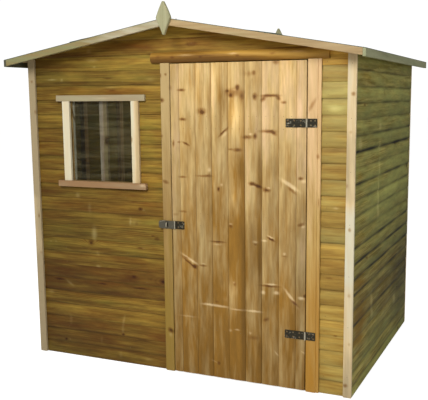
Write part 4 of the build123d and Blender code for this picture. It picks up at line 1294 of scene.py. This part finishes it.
def steel_material(name, proud=None):
    """Dark lacquer with bright flecks of wear, and painted bright where the metal stands prouder than a
    plane: wear on the knuckles, and a painted highlight.
    """
    tone = colours()
    recipe = Recipe(name)
    place = recipe.place()
    fleck = recipe.noise(recipe.stretched(place, 160.0, 160.0, 160.0), 3.0, 0.7)
    smear = recipe.noise(recipe.stretched(place, 30.0, 30.0, 60.0), 2.0)
    wear_and_glint = recipe.step(recipe.math("MULTIPLY_ADD", smear, 0.6, fleck), 0.92, 1.1)
    if proud is not None:
        depth = recipe.add("SeparateXYZ", (place,)).outputs[1]
        # Proud knuckles painted bright: wear, and a painted highlight
        wear_and_glint = recipe.math("MAXIMUM", wear_and_glint, recipe.step(depth, proud + 0.0006, proud - 0.0014, 0.0, 0.85))
    base = recipe.mix(wear_and_glint, tuple(tone.steel), tuple(tone.bright_steel))
    rough = recipe.math("MULTIPLY_ADD", fleck, 0.3, 0.25)
    return recipe.finish(base, rough, fleck, 0.0003, 0.4, Metallic=0.75)


def zinc_material():
    """Dull zinc, stained brown in blotches."""
    tone = colours()
    recipe = Recipe("zinc_heads")
    bloom = recipe.noise(recipe.stretched(recipe.place(), 220.0, 220.0, 220.0), 2.0)
    base = recipe.mix(recipe.step(bloom, 0.38, 0.62), tuple(tone.dull_steel), tuple(tone.head_deep))
    return recipe.finish(base, recipe.math("MULTIPLY_ADD", bloom, 0.3, 0.4), bloom, 0.0002, 0.3,
                         Metallic=0.3)


def grid_places(xs, y, zs):
    """Every pair of xs and zs at one depth y."""
    x, z = np.meshgrid(xs, zs)
    return np.stack([x.ravel(), np.full(x.size, y), z.ravel()], axis=1)


class SHED_OT_ironmongery(bpy.types.Operator):
    """Hinges, hasp and staple, and the screws that hold them"""
    bl_idname = "shed.ironmongery"
    bl_label = "Ironmongery"

    def execute(self, context):
        size = sizes()
        plate = side_of("door_boards", 0, "y") - 0.002
        dress(steel_material("hinge_steel", plate - 0.0012), "hinge_door_leaves", "hinge_post_leaves",
              "hasp_plate")
        dress(steel_material("hasp_steel", plate - 0.0030), "hasp_strap", "hasp_staple")
        zinc = zinc_material()
        low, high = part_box("hinge_door_leaves")
        post = side_of("hinge_post_leaves", 1, "x")
        hasp_low, hasp_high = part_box("hasp_plate")
        hasp = (hasp_low[2] + hasp_high[2]) / 2
        staple_low, staple_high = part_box("hasp_staple")
        half_leaf = 0.0225
        door_screws = Shells()
        post_screws = Shells()
        # For each group of screws: its columns, its rows, the radius, the rise and the slot of a head
        screws = []
        for level in (low[2] + half_leaf, high[2] - half_leaf):
            rows = (level - 0.012, level + 0.012)
            screws.append((door_screws, (low[0] + 0.012, low[0] + 0.047, low[0] + 0.082), rows,
                           size.screw_head, 0.0012, 0.0007))
            screws.append((post_screws, (post - 0.011, post - 0.034), rows,
                           size.screw_head, 0.0012, 0.0007))
        screws.append((door_screws, (hasp_high[0] - 0.011, hasp_high[0] - 0.038),
                       (hasp - 0.013, hasp + 0.013), 0.0038, 0.0012, 0.0007))
        screws.append((post_screws, (staple_low[0] + 0.007, staple_high[0] - 0.007),
                       (staple_low[2] + 0.007, staple_high[2] - 0.007), 0.003, 0.0008, 0.0005))
        for shells, columns, rows, *head in screws:
            heads(shells, grid_places(columns, plate, rows), OUTWARD, *head)
        door_screws.build("door_screws", "door", zinc)
        post_screws.build("post_screws", "shed", zinc)
        return {"FINISHED"}


class SHED_OT_nails(bpy.types.Operator):
    """Nail heads in the cladding, the door, the trims and the felt"""
    bl_idname = "shed.nails"
    bl_label = "Nails"

    def execute(self, context):
        size = sizes()
        zinc = zinc_material()
        rng = np.random.default_rng(size.seed + 4)
        shells = Shells()
        small = dict(rings=3, spokes=8)
        nail = (size.nail_head, 0.0006)
        above_joint, clear_of_roof, lowest = 0.019, 0.05, 0.03
        for turn, lines, shift, face, blocked in wall_nail_lines():
            cos, sin = math.cos(turn), math.sin(turn)
            for line in lines:
                top = under_roof(line if face == wall_face else half_width) - clear_of_roof
                heights = np.arange(shift + above_joint, top, size.course)
                heights = heights[heights > lowest]
                heights = heights[[not blocked(line, height) for height in heights]]
                along = line + rng.uniform(-0.004, 0.004, len(heights))
                x, y = along, np.full_like(along, face)
                places = np.stack([x * cos - y * sin, x * sin + y * cos, heights], axis=1)
                heads(shells, places, (sin, -cos, 0), *nail, **small)
        shells.build("cladding_nails", "shed", zinc)

        low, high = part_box("door_boards")
        beside, above, half_ledge = 0.022, 0.033, 0.045
        middles = np.arange(low[0] + 0.1, high[0] - 0.05, size.door_board)
        columns = np.concatenate([middles - beside, middles + beside])
        ledge_low, ledge_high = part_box("door_ledges")
        middle_ledge = side_of("hasp_plate", 0, "z") + 0.062
        door = Shells()
        for row in (ledge_low[2] + half_ledge, middle_ledge, ledge_high[2] - half_ledge):
            places = grid_places(columns, low[1] + 0.0003, (row - above, row + above))
            heads(door, places, OUTWARD, size.nail_head, 0.0005, **small)
        door.build("door_nails", "door", zinc)

        trims = Shells()
        first, apart, half_trim = 0.12, 0.27, 0.0225
        rows = np.arange(first, eaves - clear_of_roof, apart)
        middle = side_of("corner_trims", 1, "x") - half_trim
        face = side_of("corner_trims", 0, "y")
        heads(trims, grid_places((-middle, middle), face, rows), OUTWARD, *nail, **small)
        heads(trims, grid_places((-middle, middle), -face, rows), (0, 1, 0), *nail, **small)
        trims.build("trim_nails", "shed", zinc)

        clouts = Shells()
        sheet = side_of("roof_felt_right", 1, "z") - ridge
        cos, sin = math.cos(pitch), math.sin(pitch)
        foot = roof_edge / cos
        along = np.arange(-roof_end + 0.02, roof_end, 0.1)
        for side in (-1, 1):
            up = np.array([side * sin, 0, cos])
            for across in (foot - 0.015, foot - size.felt_strip + 0.055, 0.06):
                lift = 0.0 if across > foot - 0.1 else sheet
                places = np.stack([np.full_like(along, side * across * cos), along,
                                   np.full_like(along, ridge - across * sin + sheet + lift)], axis=1)
                heads(clouts, places, up, size.clout_head, 0.0012, rings=3, spokes=10)
        clouts.build("felt_nails", "shed", zinc)
        return {"FINISHED"}


def wall_nail_lines():
    """For each wall: its turn, its studs' lines, its course shift, its face, and where no nail goes."""
    stud = 0.021

    def hole(line, height):
        beside_window = window_left - 0.06 < line < window_right + 0.06
        beside_door = opening_left - 0.06 < line < opening_right + 0.08
        over_window = beside_window and window_foot - 0.05 < height < window_head + 0.05
        return over_window or (beside_door and height < opening_top + 0.06)

    def clear(line, height):
        return False

    front = (window_left - stud - 0.05, window_right + stud + 0.05, opening_right + 0.1, -0.35, 0.35)
    back = np.linspace(-inner_half + stud + 0.05, inner_half - stud - 0.05, 4)
    side = np.linspace(wall_face + 0.05 + stud, -wall_face - 0.05 - stud, 4)
    shift = sizes().side_course_shift
    return ((0.0, front, 0.0, wall_face, hole),
            (math.pi, back, 0.0, wall_face, clear),
            (math.pi / 2, side, shift, -half_width, clear),
            (-math.pi / 2, side, shift, -half_width, clear))


class SHED_OT_stage(bpy.types.Operator):
    """Pale floor, soft light and the camera at the photo's viewing angle"""
    bl_idname = "shed.stage"
    bl_label = "Stage"

    def execute(self, context):
        scene = context.scene
        stage = scene.shed_stage
        scene.view_settings.view_transform = "Standard"
        floor_mesh = bpy.data.meshes.new("floor")
        reach = 60.0
        corners = [(-reach, -reach, 0), (reach, -reach, 0), (reach, reach, 0), (-reach, reach, 0)]
        floor_mesh.from_pydata(corners, [], [(0, 1, 2, 3)])
        floor_mesh.materials.append(floor_material(stage.floor_glow))
        floor = bpy.data.objects.new("floor", floor_mesh)
        scene.collection.objects.link(floor)
        scene.world = white_world(stage.sky)
        # Each light's name, power, place, the point it faces, and its side
        lights = (("key", stage.key, stage.key_place, (0.0, -0.7, 0.9), stage.key_size),
                  ("fill", stage.fill, (4.6, -1.6, 2.4), (0.9, 0.0, 0.9), 2.4),
                  ("top", stage.top, (0.0, -0.5, 5.2), (0.0, -0.5, 0.0), 4.0),
                  ("inside", stage.inside, (-0.3, 0.1, 1.7), (-0.3, 0.3, 0.0), 0.8))
        for light in lights:
            add_light(*light)
        scene.camera = photo_camera(stage)
        return {"FINISHED"}


def floor_material(glow):
    """Matt white, with a little extra white where the camera looks at it, so that it meets the sky."""
    recipe = Recipe("floor")
    seen = recipe.add("LightPath").outputs["Is Camera Ray"]
    strength = recipe.math("MULTIPLY", seen, glow)
    return recipe.finish((0.82, 0.82, 0.81, 1.0), 0.9, Emission_Color=(1.0, 1.0, 1.0, 1.0),
                         Emission_Strength=strength)


def white_world(strength):
    """White light of the given strength from all round, and full white where the camera sees it."""
    recipe = Recipe("studio", "worlds")
    full = 1.05
    seen = recipe.add("LightPath").outputs["Is Camera Ray"]
    level = recipe.add("MapRange", (seen, 0.0, 1.0, strength, full)).outputs[0]
    back = recipe.add("Background", ((1.0, 1.0, 1.0, 1.0), level)).outputs[0]
    recipe.add("OutputWorld", (back,))
    return recipe.made


def add_light(name, power, place, target, size):
    """A square soft light that faces a point."""
    data = bpy.data.lights.new(name, "AREA")
    data.energy = power
    data.size = size
    lamp = bpy.data.objects.new(name, data)
    lamp.location = place
    aim = Vector(target) - Vector(place)
    lamp.rotation_euler = aim.to_track_quat("-Z", "Y").to_euler()
    bpy.context.scene.collection.objects.link(lamp)


def photo_camera(stage):
    """A camera turned by the fitted angles, its middle shifted as the photo's framing is."""
    data = bpy.data.cameras.new("camera")
    data.sensor_width = SENSOR_WIDTH
    data.lens = stage.focal_pixels / PHOTO_WIDTH * SENSOR_WIDTH
    data.shift_x = -stage.centre_right / PHOTO_WIDTH
    data.shift_y = stage.centre_down / PHOTO_WIDTH
    camera = bpy.data.objects.new("camera", data)
    turned = Matrix.Rotation(stage.camera_turn, 4, "Z") @ \
        Matrix.Rotation(math.pi / 2 + stage.camera_tilt, 4, "X") @ \
        Matrix.Rotation(stage.camera_roll, 4, "Z")
    camera.matrix_world = Matrix.Translation(stage.camera_place) @ turned
    bpy.context.scene.collection.objects.link(camera)
    return camera


STEPS = (SHED_OT_stage, SHED_OT_cladding, SHED_OT_door, SHED_OT_trims, SHED_OT_roof,
         SHED_OT_framing, SHED_OT_ironmongery, SHED_OT_nails)
GROUPS = (("shed_sizes", ShedSizes), ("shed_colours", ShedColours), ("shed_stage", ShedStage))


class SHED_PT_pieces(bpy.types.Panel):
    """Lists the pieces of the shed"""
    bl_label = "Garden shed"
    bl_space_type = "VIEW_3D"
    bl_region_type = "UI"
    bl_category = "Shed"

    def draw(self, context):
        for step in STEPS:
            self.layout.operator(step.bl_idname)


def register():
    for name, group in GROUPS:
        bpy.utils.register_class(group)
        setattr(bpy.types.Scene, name, PointerProperty(type=group))
    for step in STEPS:
        bpy.utils.register_class(step)
    bpy.utils.register_class(SHED_PT_pieces)


def unregister():
    bpy.utils.unregister_class(SHED_PT_pieces)
    for step in reversed(STEPS):
        bpy.utils.unregister_class(step)
    for name, group in reversed(GROUPS):
        delattr(bpy.types.Scene, name)
        bpy.utils.unregister_class(group)


def main():
    register()
    for step in STEPS:
        family, name = step.bl_idname.split(".")
        getattr(getattr(bpy.ops, family), name)()


if __name__ == "__main__":
    main()
